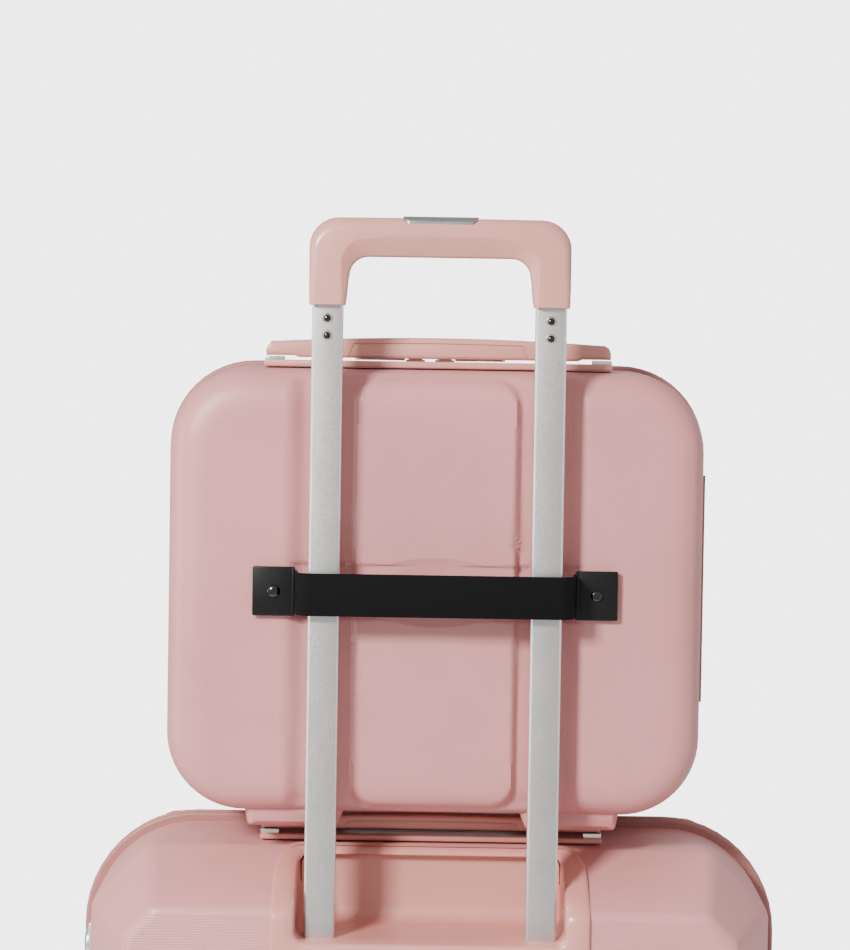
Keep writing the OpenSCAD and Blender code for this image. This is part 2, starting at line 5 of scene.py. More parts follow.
import bmesh
import bpy
from mathutils import Matrix, Vector


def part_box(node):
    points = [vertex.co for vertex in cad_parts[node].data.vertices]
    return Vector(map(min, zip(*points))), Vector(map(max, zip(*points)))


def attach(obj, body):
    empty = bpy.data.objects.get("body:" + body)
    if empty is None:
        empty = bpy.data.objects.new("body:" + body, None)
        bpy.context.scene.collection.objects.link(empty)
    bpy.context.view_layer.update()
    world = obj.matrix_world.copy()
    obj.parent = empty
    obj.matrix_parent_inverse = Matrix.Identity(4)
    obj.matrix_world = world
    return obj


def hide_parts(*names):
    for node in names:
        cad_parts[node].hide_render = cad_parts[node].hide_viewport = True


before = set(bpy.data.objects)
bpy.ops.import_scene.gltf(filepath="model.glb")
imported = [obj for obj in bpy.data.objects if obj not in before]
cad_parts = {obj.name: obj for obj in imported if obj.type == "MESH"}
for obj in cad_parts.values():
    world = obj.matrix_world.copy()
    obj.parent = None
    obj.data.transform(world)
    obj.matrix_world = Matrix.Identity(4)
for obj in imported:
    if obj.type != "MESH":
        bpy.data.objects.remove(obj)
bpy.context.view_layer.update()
MM = 0.001


# ---- places worked out from the frame ----

def low(node, axis):
    """The least coordinate of a frame node on an axis."""
    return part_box(node)[0][axis]


def high(node, axis):
    """The greatest coordinate of a frame node on an axis."""
    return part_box(node)[1][axis]


def middle(node, axis):
    """The middle of a frame node's box on an axis."""
    return (low(node, axis) + high(node, axis)) / 2


X, Y, Z = 0, 1, 2
RIM_HALF = high("rear_rim", X)
RIM_TOP = high("rear_rim", Z)
RIM_BASE = low("rear_rim", Z)
RIM_MID = (RIM_TOP + RIM_BASE) / 2
RIM_HIGH = RIM_TOP - RIM_BASE
RIM_DEPTH = -low("rear_rim", Y)
SHELL_BACK = -low("rear_shell", Y)
RIM_PROUD = RIM_HALF - high("rear_shell", X)
CORNER_R = 70 * MM
CREASE_Y = 62 * MM
CREASE_INSET = 10.5 * MM
FACE_INSET = 36.5 * MM
WALL = 2.5 * MM

TUBE_X = middle("inner_tube_right", X)
TUBE_Y = middle("inner_tube_right", Y)
GRIP_Z = low("trolley_grip", Z)
GRIP_TOP = high("trolley_grip", Z)
GRIP_HALF = high("trolley_grip", X)
GRIP_DEPTH = high("trolley_grip", Y) - low("trolley_grip", Y)

FRAME_HALF = high("handle_housing", X)
FRAME_LOW = low("handle_housing", Z)
FRAME_FRONT = -high("handle_housing", Y)
POCKET_Z = FRAME_LOW + 20 * MM

CASE_HALF = high("case_rear_rim", X)
CASE_TOP = high("case_rear_rim", Z)
CASE_BASE = low("case_rear_rim", Z)
CASE_MID = (CASE_TOP + CASE_BASE) / 2
CASE_CORNER_R = 52 * MM
CASE_Y = (high("case_rear_rim", Y) + low("case_front_rim", Y)) / 2
CASE_BACK = low("case_rear_shell", Y)
CASE_DEEP = CASE_Y - CASE_BACK
CASE_RIM_DEPTH = CASE_Y - low("case_rear_rim", Y)
CASE_RIM_PROUD = CASE_HALF - high("case_rear_shell", X)


# ---- mesh helpers ----

def loft(bm, rings, cap_first=False, cap_last=False):
    """Skins a row of closed point loops, all with the same number of points, over a grid."""
    rows, columns = len(rings), len(rings[0])
    made = bmesh.ops.create_grid(bm, x_segments=columns, y_segments=rows - 1, size=0.5)
    spots = {}
    for vert in made["verts"]:
        spot = (round((vert.co.y + 0.5) * (rows - 1)), round((vert.co.x + 0.5) * columns))
        spots[spot] = vert
        vert.co = rings[spot[0]][spot[1] % columns]
    seam = {spots[(row, columns)]: spots[(row, 0)] for row in range(rows)}
    bmesh.ops.weld_verts(bm, targetmap=seam)
    for wanted, row in ((cap_first, 0), (cap_last, rows - 1)):
        if wanted:
            loop = {spots[(row, column)] for column in range(columns)}
            edges = {e for vert in loop for e in vert.link_edges if e.other_vert(vert) in loop}
            bmesh.ops.contextual_create(bm, geom=list(edges))


def closed_loft(rings):
    """A skin that comes back to its first loop."""
    bm = bmesh.new()
    loft(bm, [*rings, rings[0]])
    bmesh.ops.remove_doubles(bm, verts=bm.verts, dist=1e-8)
    return bm


def in_mm(*points):
    """Points given in millimetres, in metres."""
    return [tuple(value * MM for value in point) for point in points]


def eased(value, start, end):
    """A smooth step from 0 at start to 1 at end."""
    t = min(1.0, max(0.0, (value - start) / (end - start)))
    return t * t * (3 - 2 * t)


def facing_rear(x, y, z):
    """Turns a shape's +Z to point out of the rear, at a place."""
    return Matrix.Translation((x, y, z)) @ Matrix.Rotation(math.radians(90), 4, "X")


def arc(cx, cy, radius, start, end, steps):
    """Points on an arc, angles in degrees."""
    angles = [math.radians(start + (end - start) * i / steps) for i in range(steps + 1)]
    return [(cx + radius * math.cos(a), cy + radius * math.sin(a)) for a in angles]


def rounded(corners, radius, steps=5, closed=True):
    """Rounds each corner of a 2D outline. radius is one number or one for each corner."""
    count = len(corners)
    radii = radius if isinstance(radius, (list, tuple)) else [radius] * count
    out = []
    for i, (corner, r) in enumerate(zip(corners, radii)):
        if not closed and i in (0, count - 1):
            out.append(tuple(corner))
            continue
        here = Vector(corner)
        before = Vector(corners[i - 1]) - here
        after = Vector(corners[(i + 1) % count]) - here
        half = before.angle(after) / 2
        reach = min(r / math.tan(half), before.length * 0.499, after.length * 0.499)
        if reach < 1e-7:
            out.append(tuple(corner))
            continue
        a = here + before.normalized() * reach
        b = here + after.normalized() * reach
        bulge = reach * math.tan(half)
        centre = here + (before.normalized() + after.normalized()).normalized() * math.hypot(reach, bulge)
        start = a - centre
        turn = start.angle_signed(b - centre)
        for k in range(steps + 1):
            out.append(tuple(centre + Matrix.Rotation(-turn * k / steps, 2) @ start))
    return out


def octagon(w, h, c, mid=0.0):
    """The outline of a box of half sizes w and h with its corners cut by c, in X and Z."""
    return [(x, mid + z) for x, z in ((w, h - c), (w - c, h), (-w + c, h), (-w, h - c),
                                      (-w, -h + c), (-w + c, -h), (w - c, -h), (w, -h + c))]


def finish_mesh(bm, merge=1e-6):
    """Joins doubled points and turns the faces outwards."""
    bmesh.ops.remove_doubles(bm, verts=bm.verts, dist=merge)
    bmesh.ops.recalc_face_normals(bm, faces=bm.faces)


def piece(name, bm, body, look, replaces=(), smooth=35, merge=1e-6):
    """Makes an object of a bmesh, ties it to its body and material, and hides the frame parts it replaces."""
    if merge:
        finish_mesh(bm, merge)
    mesh = bpy.data.meshes.new(name)
    bm.to_mesh(mesh)
    bm.free()
    mesh.materials.append(look)
    mesh.polygons.foreach_set("use_smooth", [True] * len(mesh.polygons))
    mesh.set_sharp_from_angle(angle=math.radians(smooth))
    obj = bpy.data.objects.new(name, mesh)
    bpy.context.collection.objects.link(obj)
    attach(obj, body)
    if replaces:
        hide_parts(*replaces)
    return obj


def merged(name, *parts):
    """One bmesh of several meshes' geometry."""
    bm = bmesh.new()
    for part in parts:
        mesh = bpy.data.meshes.new(name)
        part.to_mesh(mesh)
        part.free()
        bm.from_mesh(mesh)
        bpy.data.meshes.remove(mesh)
    return bm


def box_bm(lo, hi, bevel=0.0, segments=3):
    """A box between two corners with rounded edges."""
    bm = bmesh.new()
    size = [h - l for l, h in zip(lo, hi)]
    centre = [(h + l) / 2 for l, h in zip(lo, hi)]
    bmesh.ops.create_cube(bm, size=1, matrix=Matrix.Translation(centre) @ Matrix.Diagonal((*size, 1)))
    if bevel:
        bmesh.ops.bevel(bm, geom=bm.edges[:], offset=bevel, offset_type="OFFSET", segments=segments,
                        profile=0.5, affect="EDGES", material=-1, clamp_overlap=True)
    return bm


def turned(profile, steps=48, matrix=Matrix()):
    """A turned shape about Z from a profile of (radius, height) points."""
    bm = bmesh.new()
    verts = [bm.verts.new((r, 0, z)) for r, z in profile]
    edges = [bm.edges.new(pair) for pair in zip(verts, verts[1:])]
    bmesh.ops.spin(bm, geom=verts + edges, cent=(0, 0, 0), axis=(0, 0, 1), angle=math.tau,
                   steps=steps, use_merge=True)
    bmesh.ops.remove_doubles(bm, verts=bm.verts, dist=1e-7)
    bmesh.ops.recalc_face_normals(bm, faces=bm.faces)
    bmesh.ops.transform(bm, matrix=matrix, verts=bm.verts)
    return bm


def upright_prism(outline, y0, y1, bevel=0.0, segments=3):
    """An outline in X and Z pulled out from y0 to y1, with its two rims rounded."""
    bm = bmesh.new()
    face = bm.faces.new([bm.verts.new((x, y0, z)) for x, z in outline])
    new = bmesh.ops.extrude_face_region(bm, geom=[face])
    moved = [v for v in new["geom"] if isinstance(v, bmesh.types.BMVert)]
    bmesh.ops.translate(bm, verts=moved, vec=(0, y1 - y0, 0))
    bmesh.ops.recalc_face_normals(bm, faces=bm.faces)
    if bevel:
        rims = [e for e in bm.edges if abs(e.verts[0].co.y - e.verts[1].co.y) < 1e-7]
        bmesh.ops.bevel(bm, geom=rims, offset=bevel, offset_type="OFFSET", segments=segments,
                        profile=0.5, affect="EDGES", material=-1, clamp_overlap=True)
    return bm


# ---- materials ----

def tree(name):
    """A new material with one principled shader."""
    material = bpy.data.materials.new(name)
    material.use_nodes = True
    nodes = material.node_tree.nodes
    nodes.clear()
    out = nodes.new("ShaderNodeOutputMaterial")
    shader = nodes.new("ShaderNodeBsdfPrincipled")
    material.node_tree.links.new(shader.outputs["BSDF"], out.inputs["Surface"])
    return material, shader


def add(material, kind, inputs=None, **settings):
    """Adds a node, sets its settings, and sets or links its inputs."""
    node = material.node_tree.nodes.new(kind)
    for key, value in settings.items():
        setattr(node, key, value)
    for key, value in (inputs or {}).items():
        if isinstance(value, bpy.types.NodeSocket):
            material.node_tree.links.new(value, node.inputs[key])
        else:
            node.inputs[key].default_value = value
    return node


def place(material, scale=(1, 1, 1), turn=(0, 0, 0)):
    """Object coordinates through a Mapping node."""
    coords = add(material, "ShaderNodeTexCoord")
    mapping = add(material, "ShaderNodeMapping", {"Vector": coords.outputs["Object"], "Scale": scale,
                                                  "Rotation": turn})
    return mapping.outputs["Vector"]


def noise(material, vector, scale, detail=2.0, rough=0.5):
    """A noise texture's value."""
    node = add(material, "ShaderNodeTexNoise", {"Vector": vector, "Scale": scale, "Detail": detail,
                                                "Roughness": rough})
    return node.outputs["Fac"]


def spread(material, value, low_value, high_value, start=0.3, end=0.7):
    """Maps a texture's middle range to a range of values."""
    node = add(material, "ShaderNodeMapRange", {"Value": value, "From Min": start, "From Max": end,
                                                "To Min": low_value, "To Max": high_value})
    return node.outputs["Result"]


def mix_colour(material, factor, a, b):
    """A colour between two, by a factor."""
    node = add(material, "ShaderNodeMix", data_type="RGBA")
    for key, value in ((0, factor), (6, a), (7, b)):
        if isinstance(value, bpy.types.NodeSocket):
            material.node_tree.links.new(value, node.inputs[key])
        else:
            node.inputs[key].default_value = value
    return node.outputs[2]


def shade(colour, amount):
    """The colour made darker or lighter, with its alpha."""
    return (*[min(1.0, c * amount) for c in colour], 1.0)


def bump(material, height, distance):
    """A surface normal from a height value."""
    inputs = {"Height": height, "Distance": distance, "Strength": 1.0}
    return add(material, "ShaderNodeBump", inputs).outputs["Normal"]


def wire(material, value, shader, socket):
    """Links a value to one of the shader's inputs."""
    material.node_tree.links.new(value, shader.inputs[socket])


def mottled(material, value, colour, dark, pale, start=0.3, end=0.7):
    """The colour varied between a dark and a pale shade by a texture."""
    factor = spread(material, value, 0, 1, start, end)
    return mix_colour(material, factor, shade(colour, dark), shade(colour, pale))


def moulded(name, colour, rough=0.4, grain=0.05, grain_scale=900, mottle=0.05, coat=0.0, specular=0.5):
    """Moulded plastic: a pebbled grain, a little mottling and handling wear in its gloss."""
    material, shader = tree(name)
    where = place(material)
    cloud = noise(material, where, 14, 3)
    wire(material, mottled(material, cloud, colour, 1 - mottle, 1 + mottle), shader, "Base Color")
    wear = noise(material, where, 60, 4, 0.65)
    wire(material, spread(material, wear, rough - 0.05, rough + 0.07), shader, "Roughness")
    if grain:
        pebble = add(material, "ShaderNodeTexVoronoi", {"Vector": where, "Scale": grain_scale},
                     feature="SMOOTH_F1").outputs["Distance"]
        fine = noise(material, where, grain_scale * 0.6, 2)
        both = add(material, "ShaderNodeMath", {0: pebble, 1: fine}, operation="ADD").outputs[0]
        wire(material, bump(material, both, grain * MM), shader, "Normal")
    shader.inputs["Specular IOR Level"].default_value = specular
    shader.inputs["Coat Weight"].default_value = coat
    shader.inputs["Coat Roughness"].default_value = 0.12
    return material


def metal(name, colour, rough=0.3, brushed=(1, 1, 0.02), speckle=0.02, scale=900):
    """Satin or brushed metal: fine streaks or speckle in its roughness and height."""
    material, shader = tree(name)
    where = place(material, brushed)
    streak = noise(material, where, scale, 2)
    plain = noise(material, place(material), 35, 3)
    wire(material, mottled(material, plain, colour, 0.95, 1.04), shader, "Base Color")
    wire(material, spread(material, streak, rough - 0.05, rough + 0.07), shader, "Roughness")
    wire(material, bump(material, streak, speckle * MM), shader, "Normal")
    shader.inputs["Metallic"].default_value = 1.0
    return material


def cloth(name, colour, pitch, turn=(0, 0, 0), depth=0.12, rough=0.85, sheen=0.25, specular=0.3):
    """Woven cloth, by two crossed wave patterns. pitch is the width of one thread."""
    material, shader = tree(name)
    where = place(material, turn=turn)
    waves = [add(material, "ShaderNodeTexWave",
                 {"Vector": where, "Scale": 0.3142 / pitch, "Distortion": 0.4, "Detail": 1.0,
                  "Detail Scale": 2.0}, wave_type="BANDS", bands_direction=way).outputs["Fac"]
             for way in ("X", "Z")]
    weave = add(material, "ShaderNodeMath", {0: waves[0], 1: waves[1]}, operation="MULTIPLY").outputs[0]
    fuzz = noise(material, where, 2500, 2)
    both = add(material, "ShaderNodeMath", {0: weave, 1: fuzz}, operation="ADD").outputs[0]
    wire(material, mottled(material, both, colour, 0.6, 1.35, 0.3, 1.3), shader, "Base Color")
    wire(material, bump(material, both, depth * MM), shader, "Normal")
    shader.inputs["Roughness"].default_value = rough
    shader.inputs["Specular IOR Level"].default_value = specular
    shader.inputs["Sheen Weight"].default_value = sheen
    shader.inputs["Sheen Roughness"].default_value = 0.5
    return material


SHELL_PINK = moulded("satin_shell_pink", (0.575, 0.245, 0.235), rough=0.40, grain=0.045, grain_scale=750)
CASE_PINK = moulded("case_shell_pink", (0.545, 0.222, 0.215), rough=0.42, grain=0.07, grain_scale=650)
FRAME_PINK = moulded("frame_pink", (0.58, 0.245, 0.205), rough=0.38, grain=0.02, grain_scale=1100, coat=0.15)
PIPING_PINK = moulded("piping_pink", (0.34, 0.135, 0.12), rough=0.5, grain=0.03, grain_scale=1500)
TAPE_PINK = cloth("zip_tape_pink", (0.33, 0.12, 0.105), 0.0007)
COIL_PINK = moulded("zip_coil_pink", (0.50, 0.20, 0.155), rough=0.35, grain=0)
LINING = cloth("lining_weave", (0.27, 0.23, 0.235), 0.0012)
TUBE_METAL = metal("anodised_tube", (0.60, 0.58, 0.565), rough=0.40, brushed=(1, 1, 0.35), speckle=0.012,
                   scale=2200)
NICKEL = metal("satin_nickel", (0.56, 0.54, 0.52), rough=0.25, brushed=(1, 1, 1), speckle=0.004)
BUTTON_METAL = metal("button_metal", (0.36, 0.345, 0.33), rough=0.33, brushed=(0.05, 1, 1), speckle=0.01)
DARK_NICKEL = metal("dark_nickel", (0.07, 0.055, 0.05), rough=0.16, brushed=(1, 1, 1), speckle=0.002)
BRIGHT_METAL = metal("bright_metal", (0.80, 0.80, 0.79), rough=0.22, brushed=(1, 1, 1), speckle=0.003)
SCREW_BLACK = metal("black_screw", (0.06, 0.06, 0.065), rough=0.16, brushed=(1, 1, 1), speckle=0.002)
CHAMPAGNE = metal("champagne_plating", (0.66, 0.56, 0.47), rough=0.2, brushed=(1, 1, 1), speckle=0.003)
GLOSS_BLACK = moulded("gloss_black", (0.005, 0.005, 0.0055), rough=0.36, grain=0.02, grain_scale=1400,
                      coat=0.06, specular=0.2)
SOFT_BLACK = moulded("caster_black", (0.03, 0.03, 0.032), rough=0.45, grain=0.03, grain_scale=1300)
HUB_GREY = moulded("hub_grey", (0.13, 0.125, 0.13), rough=0.4, grain=0.02)
RUBBER = moulded("tyre_rubber", (0.022, 0.022, 0.023), rough=0.68, grain=0.04, grain_scale=1600)
ELASTIC = cloth("woven_elastic", (0.0018, 0.0017, 0.0021), 0.0008, turn=(0, math.radians(38), 0),
                depth=0.2, rough=0.7, sheen=0.0, specular=0.12)


def baked(obj):
    """The object's mesh with its modifiers applied."""
    graph = bpy.context.evaluated_depsgraph_get()
    return bpy.data.meshes.new_from_object(obj.evaluated_get(graph))


def cut(bm, cutter_bm, operation="DIFFERENCE"):
    """Cuts one bmesh with another and returns the result as a new bmesh."""
    pair = []
    for label, part in (("cut_base", bm), ("cut_tool", cutter_bm)):
        bmesh.ops.recalc_face_normals(part, faces=part.faces)
        mesh = bpy.data.meshes.new(label)
        part.to_mesh(mesh)
        part.free()
        obj = bpy.data.objects.new(label, mesh)
        bpy.context.collection.objects.link(obj)
        pair.append(obj)
    base, tool = pair
    modifier = base.modifiers.new("cut", "BOOLEAN")
    modifier.operation = operation
    modifier.solver = "MANIFOLD"
    modifier.object = tool
    result = bmesh.new()
    result.from_mesh(baked(base))
    for obj in pair:
        bpy.data.objects.remove(obj)
    return result


# ---- suitcase shells ----

def cut_corner_outline(inset, cut_size, round_r, steps=6):
    """The suitcase's outline with cut and rounded corners, drawn in by the inset."""
    corners = octagon(RIM_HALF - inset, RIM_HIGH / 2 - inset, cut_size, RIM_MID)
    return rounded(corners, round_r, steps)


CREASE_CUT, CREASE_ROUND = 35 * MM, 15 * MM
FACE_CUT, FACE_ROUND = 17 * MM, 9 * MM
FULL_ARC = math.tan(math.radians(22.5)) * 2 / math.sqrt(2)


def corner_style(y):
    """Cut and rounding of the outline's corners at a distance from the rim plane."""
    start = CORNER_R - RIM_PROUD
    if y <= CREASE_Y:
        t = (y - RIM_DEPTH) / (CREASE_Y - RIM_DEPTH)
        return (start * FULL_ARC * (1 - t) + CREASE_CUT * t, start * (1 - t) + CREASE_ROUND * t)
    t = (y - CREASE_Y) / (SHELL_BACK - CREASE_Y)
    return (CREASE_CUT * (1 - t) + FACE_CUT * t, CREASE_ROUND * (1 - t) + FACE_ROUND * t)


def shell_profile(wall):
    """(distance from the rim plane, inset) down the shell, with its creases rounded."""
    points = [(RIM_DEPTH, RIM_PROUD + wall), (CREASE_Y, CREASE_INSET + wall),
              (SHELL_BACK - wall, FACE_INSET + wall * 0.6), (SHELL_BACK - wall, FACE_INSET + 30 * MM)]
    return rounded(points, [0, 16 * MM, 7 * MM, 0], 5, closed=False)


def shell_rings(side, wall):
    """Outlines of one half's shell from the rim to the flat face, sunk in by the wall."""
    rings = []
    for y, inset in shell_profile(wall):
        cut_size, round_r = corner_style(min(y + wall * 0.5, SHELL_BACK))
        rings.append([Vector((x, side * y, z)) for x, z in cut_corner_outline(inset, cut_size, round_r)])
    return rings


def suitcase_shell(side):
    """One half's shell as a closed wall, open at the rim."""
    outer, inner = shell_rings(side, 0), shell_rings(side, WALL)
    bm = bmesh.new()
    loft(bm, [*reversed(outer), *inner], cap_first=True, cap_last=True)
    finish_mesh(bm)
    return bm


def side_x(outline, z):
    """The outline's half width at a height."""
    right = sorted((p.z, p.x) for p in outline if p.x > 0.02)
    for (z0, x0), (z1, x1) in zip(right, right[1:]):
        if z0 <= z <= z1 and z1 > z0:
            return x0 + (x1 - x0) * (z - z0) / (z1 - z0)
    return right[0][1] if z < right[0][0] else right[-1][1]


RIB_PITCH = 1.5 * MM
RIB_HEIGHT = 0.32 * MM
RIB_BASE = 0.02 * MM
RIB_TUCK = 0.3 * MM
RIB_ROWS = 4
RIB_Z0, RIB_Z1 = RIM_BASE + 39 * MM, RIM_TOP - 39 * MM


def chamfer_steps():
    """Pairs of neighbouring shell outlines, and how far between them a column of ribs runs."""
    rings = [r for r in shell_rings(1, 0) if r[0].y > CREASE_Y + 6 * MM]
    steps = []
    for a, b in zip(rings, rings[1:]):
        thirds = (0, 0.33, 0.67) if b[0].y - a[0].y > 10 * MM else (0,)
        steps += [(a, b, t) for t in thirds if a[0].y < SHELL_BACK - 1e-6 or t == 0]
    return steps


def rib_path(steps, inner, z):
    """The shell's surface at a height, as (x, y) points from the side to the middle."""
    path = []
    for a, b, t in steps:
        xa, xb = side_x(a, z), side_x(b, z)
        path.append(Vector((xa + (xb - xa) * t, a[0].y + (b[0].y - a[0].y) * t)))
    return [*path, *[Vector((x, SHELL_BACK)) for x in inner]]


def off_path(path, k):
    """The way straight out of the surface at a point of the path."""
    run = path[min(k + 1, len(path) - 1)] - path[max(k - 1, 0)]
    out = Vector((run.y, -run.x)).normalized()
    return -out if out.y < 0 else out


def rib_sheet(side, gap=None):
    """Fine horizontal ribs over the flat face and the side chamfers, with a gap for the handle pocket."""
    steps, inner = chamfer_steps(), [gap or 0.1, 0.02]
    half = len(steps) + len(inner)
    rows = int((RIB_Z1 - RIB_Z0) / RIB_PITCH) * RIB_ROWS
    heights = [RIB_Z0 + row * RIB_PITCH / RIB_ROWS for row in range(rows + 1)]
    paths = [rib_path(steps, inner, z) for z in heights]
    bm = bmesh.new()
    bmesh.ops.create_grid(bm, x_segments=2 * half - 1, y_segments=rows, size=0.5)
    for vert in bm.verts:
        column = round((vert.co.x + 0.5) * (2 * half - 1))
        row = round((vert.co.y + 0.5) * rows)
        mirror_x = 1 if column < half else -1
        k = column if column < half else 2 * half - 1 - column
        wave = 0.5 - 0.5 * math.cos(math.tau * row / RIB_ROWS)
        tuck = RIB_TUCK if k == 0 or row in (0, rows) else 0
        lift = RIB_BASE + RIB_HEIGHT * wave * min(1.0, k / 2) - tuck
        spot = paths[row][k] + off_path(paths[row], k) * lift
        vert.co = Vector((mirror_x * spot.x, side * spot.y, heights[row]))
    if gap:
        inside = [f for f in bm.faces if abs(f.calc_center_median().x) < gap
                  and f.calc_center_median().z > FRAME_LOW + 4 * MM]
        bmesh.ops.delete(bm, geom=inside, context="FACES")
    return bm


def bent_outline(half, top, low_z, bends, top_r, low_r):
    """A rounded outline in X and Z with points on its sides at each bend of the surface under it."""
    left = [(-half, TURN_Z + b * MM) for b in bends]
    right = [(-x, z) for x, z in reversed(left)]
    plain = [0] * len(bends)
    corners = [(half, top), (-half, top), *left, (-half, low_z), (half, low_z), *right]
    return rounded(corners, [top_r, top_r, *plain, low_r, low_r, *plain], 8)


TURN_Z = RIM_TOP - FACE_INSET
FRAME_TOP = RIM_TOP - CREASE_INSET + 0.5 * MM


def frame_outline(inset):
    """The handle pocket frame's outline in X and Z, drawn in by the inset."""
    radius = 23 * MM - inset
    return bent_outline(FRAME_HALF - inset, FRAME_TOP - inset, FRAME_LOW + inset, (0.5, -1, -3, -5, -7),
                        radius, radius)


def pocket_outline(inset, top_drop):
    """The pocket's own outline, with as many points as the frame's."""
    return bent_outline(FRAME_HALF - 14 * MM - inset, FRAME_TOP - top_drop - inset * 0.3,
                        POCKET_Z - 0.5 * MM + inset, (6, 3, 0, -3, -6), 6 * MM, 9 * MM)


def outside_y(z):
    """How far the rear face or its top chamfer is from the rim plane at a height."""
    bend = 4 * MM
    if z <= TURN_Z - bend:
        return SHELL_BACK
    slope = (SHELL_BACK - CREASE_Y) / (FACE_INSET - CREASE_INSET)
    t = min(1.0, (z - TURN_Z + bend) / (2 * bend))
    past = (z - TURN_Z + bend) * t / 2 if t < 1 else z - TURN_Z
    return max(SHELL_BACK - slope * past, CREASE_Y - 4 * MM)


def rear_shell_piece():
    """The rear half's shell with its ribs, open at the handle pocket."""
    hole = upright_prism(pocket_outline(-3 * MM, 2.2 * MM), -SHELL_BACK - 10 * MM, -FRAME_FRONT + 3 * MM)
    bm = cut(suitcase_shell(-1), hole)
    piece("rear_shell_skin", bm, "rear_half", SHELL_PINK, ["rear_shell"], smooth=40)
    ribs = rib_sheet(-1, FRAME_HALF - 4 * MM)
    piece("rear_shell_ribs", ribs, "rear_half", SHELL_PINK, smooth=80, merge=0)


def front_shell_piece():
    """The front half's shell with its ribs."""
    piece("front_shell_skin", suitcase_shell(1), "front_half", SHELL_PINK, ["front_shell"],
          smooth=40)
    piece("front_shell_ribs", rib_sheet(1), "front_half", SHELL_PINK, smooth=80, merge=0)


rear_shell_piece()
front_shell_piece()


# ---- rims and zips ----

def round_rect(half_w, half_h, radius, mid_z=0.0, steps=12):
    """A rounded rectangle's outline in X and Z."""
    corners = [(half_w, mid_z + half_h), (-half_w, mid_z + half_h), (-half_w, mid_z - half_h),
               (half_w, mid_z - half_h)]
    return rounded(corners, radius, steps)


def suitcase_line(inset):
    """The suitcase's edge, drawn in by the inset."""
    return round_rect(RIM_HALF - inset, RIM_HIGH / 2 - inset, CORNER_R - inset, RIM_MID)


def case_line(inset):
    """The carry case's edge, drawn in by the inset."""
    return round_rect(CASE_HALF - inset, (CASE_TOP - CASE_BASE) / 2 - inset, CASE_CORNER_R - inset, CASE_MID)


def swept_ring(line, section, side, mid_y=0.0):
    """A closed section of (distance from the rim plane, inset) points, carried round an outline."""
    return closed_loft([[Vector((x, mid_y + side * y, z)) for x, z in line(inset)] for y, inset in section])


def piping_section(depth, base_inset):
    """A roll of piping with a welt below it, seen across the rim."""
    roll = arc(depth - 2.0 * MM, 2.3 * MM, 2.0 * MM, 20, -200, 12)
    return [(depth - 0.1 * MM, base_inset), *roll, (1.75 * MM, base_inset)]


def along(line_points, spacing):
    """Places at even spacing along a closed outline, with the way it runs there."""
    points = [Vector(p) for p in line_points]
    pairs = list(zip(points, points[1:] + points[:1]))
    total = sum((b - a).length for a, b in pairs)
    count = int(total / spacing / 2) * 2
    step, reach, out = total / count, 0.0, []
    for a, b in pairs:
        length = (b - a).length
        while length > 0 and reach < length and len(out) < count:
            out.append((a.lerp(b, reach / length), (b - a).normalized()))
            reach += step
        reach -= length
    return out


TOOTH_SIZE = (0.95 * MM, 2.3 * MM, 1.3 * MM, 1)
TOOTH_PITCH = 1.25 * MM
TOOTH_INSET = 0.9 * MM
TOOTH_OFFSET = 0.25 * MM


def zip_teeth(line, side, mid_y, skip=lambda x, z: False):
    """Every other tooth of a coil zip, each a small block with one tapered side."""
    bm = bmesh.new()
    first = 0 if side < 0 else 1
    tooth_y = mid_y + side * TOOTH_OFFSET
    for spot, way in along(line(TOOTH_INSET), TOOTH_PITCH)[first::2]:
        if skip(spot.x, spot.y):
            continue
        matrix = (Matrix.Translation((spot.x, tooth_y, spot.y))
                  @ Matrix.Rotation(-math.atan2(way.y, way.x), 4, "Y") @ Matrix.Diagonal(TOOTH_SIZE))
        made = bmesh.ops.create_cube(bm, size=1, matrix=matrix)
        across = Vector((-way.y, 0, way.x))
        by_side = sorted(made["verts"], key=lambda v: v.co.dot(across))
        for v in (by_side[:4] if (spot.x * across.x + (spot.y - RIM_MID) * across.z) < 0 else by_side[4:]):
            v.co.y += (tooth_y - v.co.y) * 0.35
    return bm


def zip_half(name, line, side, mid_y, body, depth, base_inset, replaced, skip=lambda x, z: False):
    """Piping, tape and teeth of one side of a zip."""
    piece(name + "_piping", swept_ring(line, piping_section(depth, base_inset), side, mid_y), body,
          PIPING_PINK, replaced, smooth=50)
    tape = in_mm((0.25, 2.4), (2.6, 2.2), (2.6, 3.2), (0.25, 3.4))
    piece(name + "_tape", swept_ring(line, tape, side, mid_y), body, TAPE_PINK, smooth=50)
    piece(name + "_teeth", zip_teeth(line, side, mid_y, skip), body, COIL_PINK, smooth=30,
          merge=0)


def in_hinge(x, z):
    """Whether a place on the suitcase's edge is under the hinge tape."""
    return x > 0 and low("hinge_band", Z) < z < high("hinge_band", Z)


zip_half("rear_rim", suitcase_line, -1, 0, "rear_half", RIM_DEPTH, RIM_PROUD + WALL,
         ["rear_rim", "rear_zipper"], in_hinge)
zip_half("front_rim", suitcase_line, 1, 0, "front_half", RIM_DEPTH, RIM_PROUD + WALL,
         ["front_rim", "front_zipper"], in_hinge)
zip_half("case_rear_edge", case_line, -1, CASE_Y, "carry_case", CASE_RIM_DEPTH, CASE_RIM_PROUD + 2.2 * MM,
         ["case_rear_rim"])
zip_half("case_front_edge", case_line, 1, CASE_Y, "case_front", CASE_RIM_DEPTH, CASE_RIM_PROUD + 2.2 * MM,
         ["case_front_rim"])


# ---- handle pocket ----

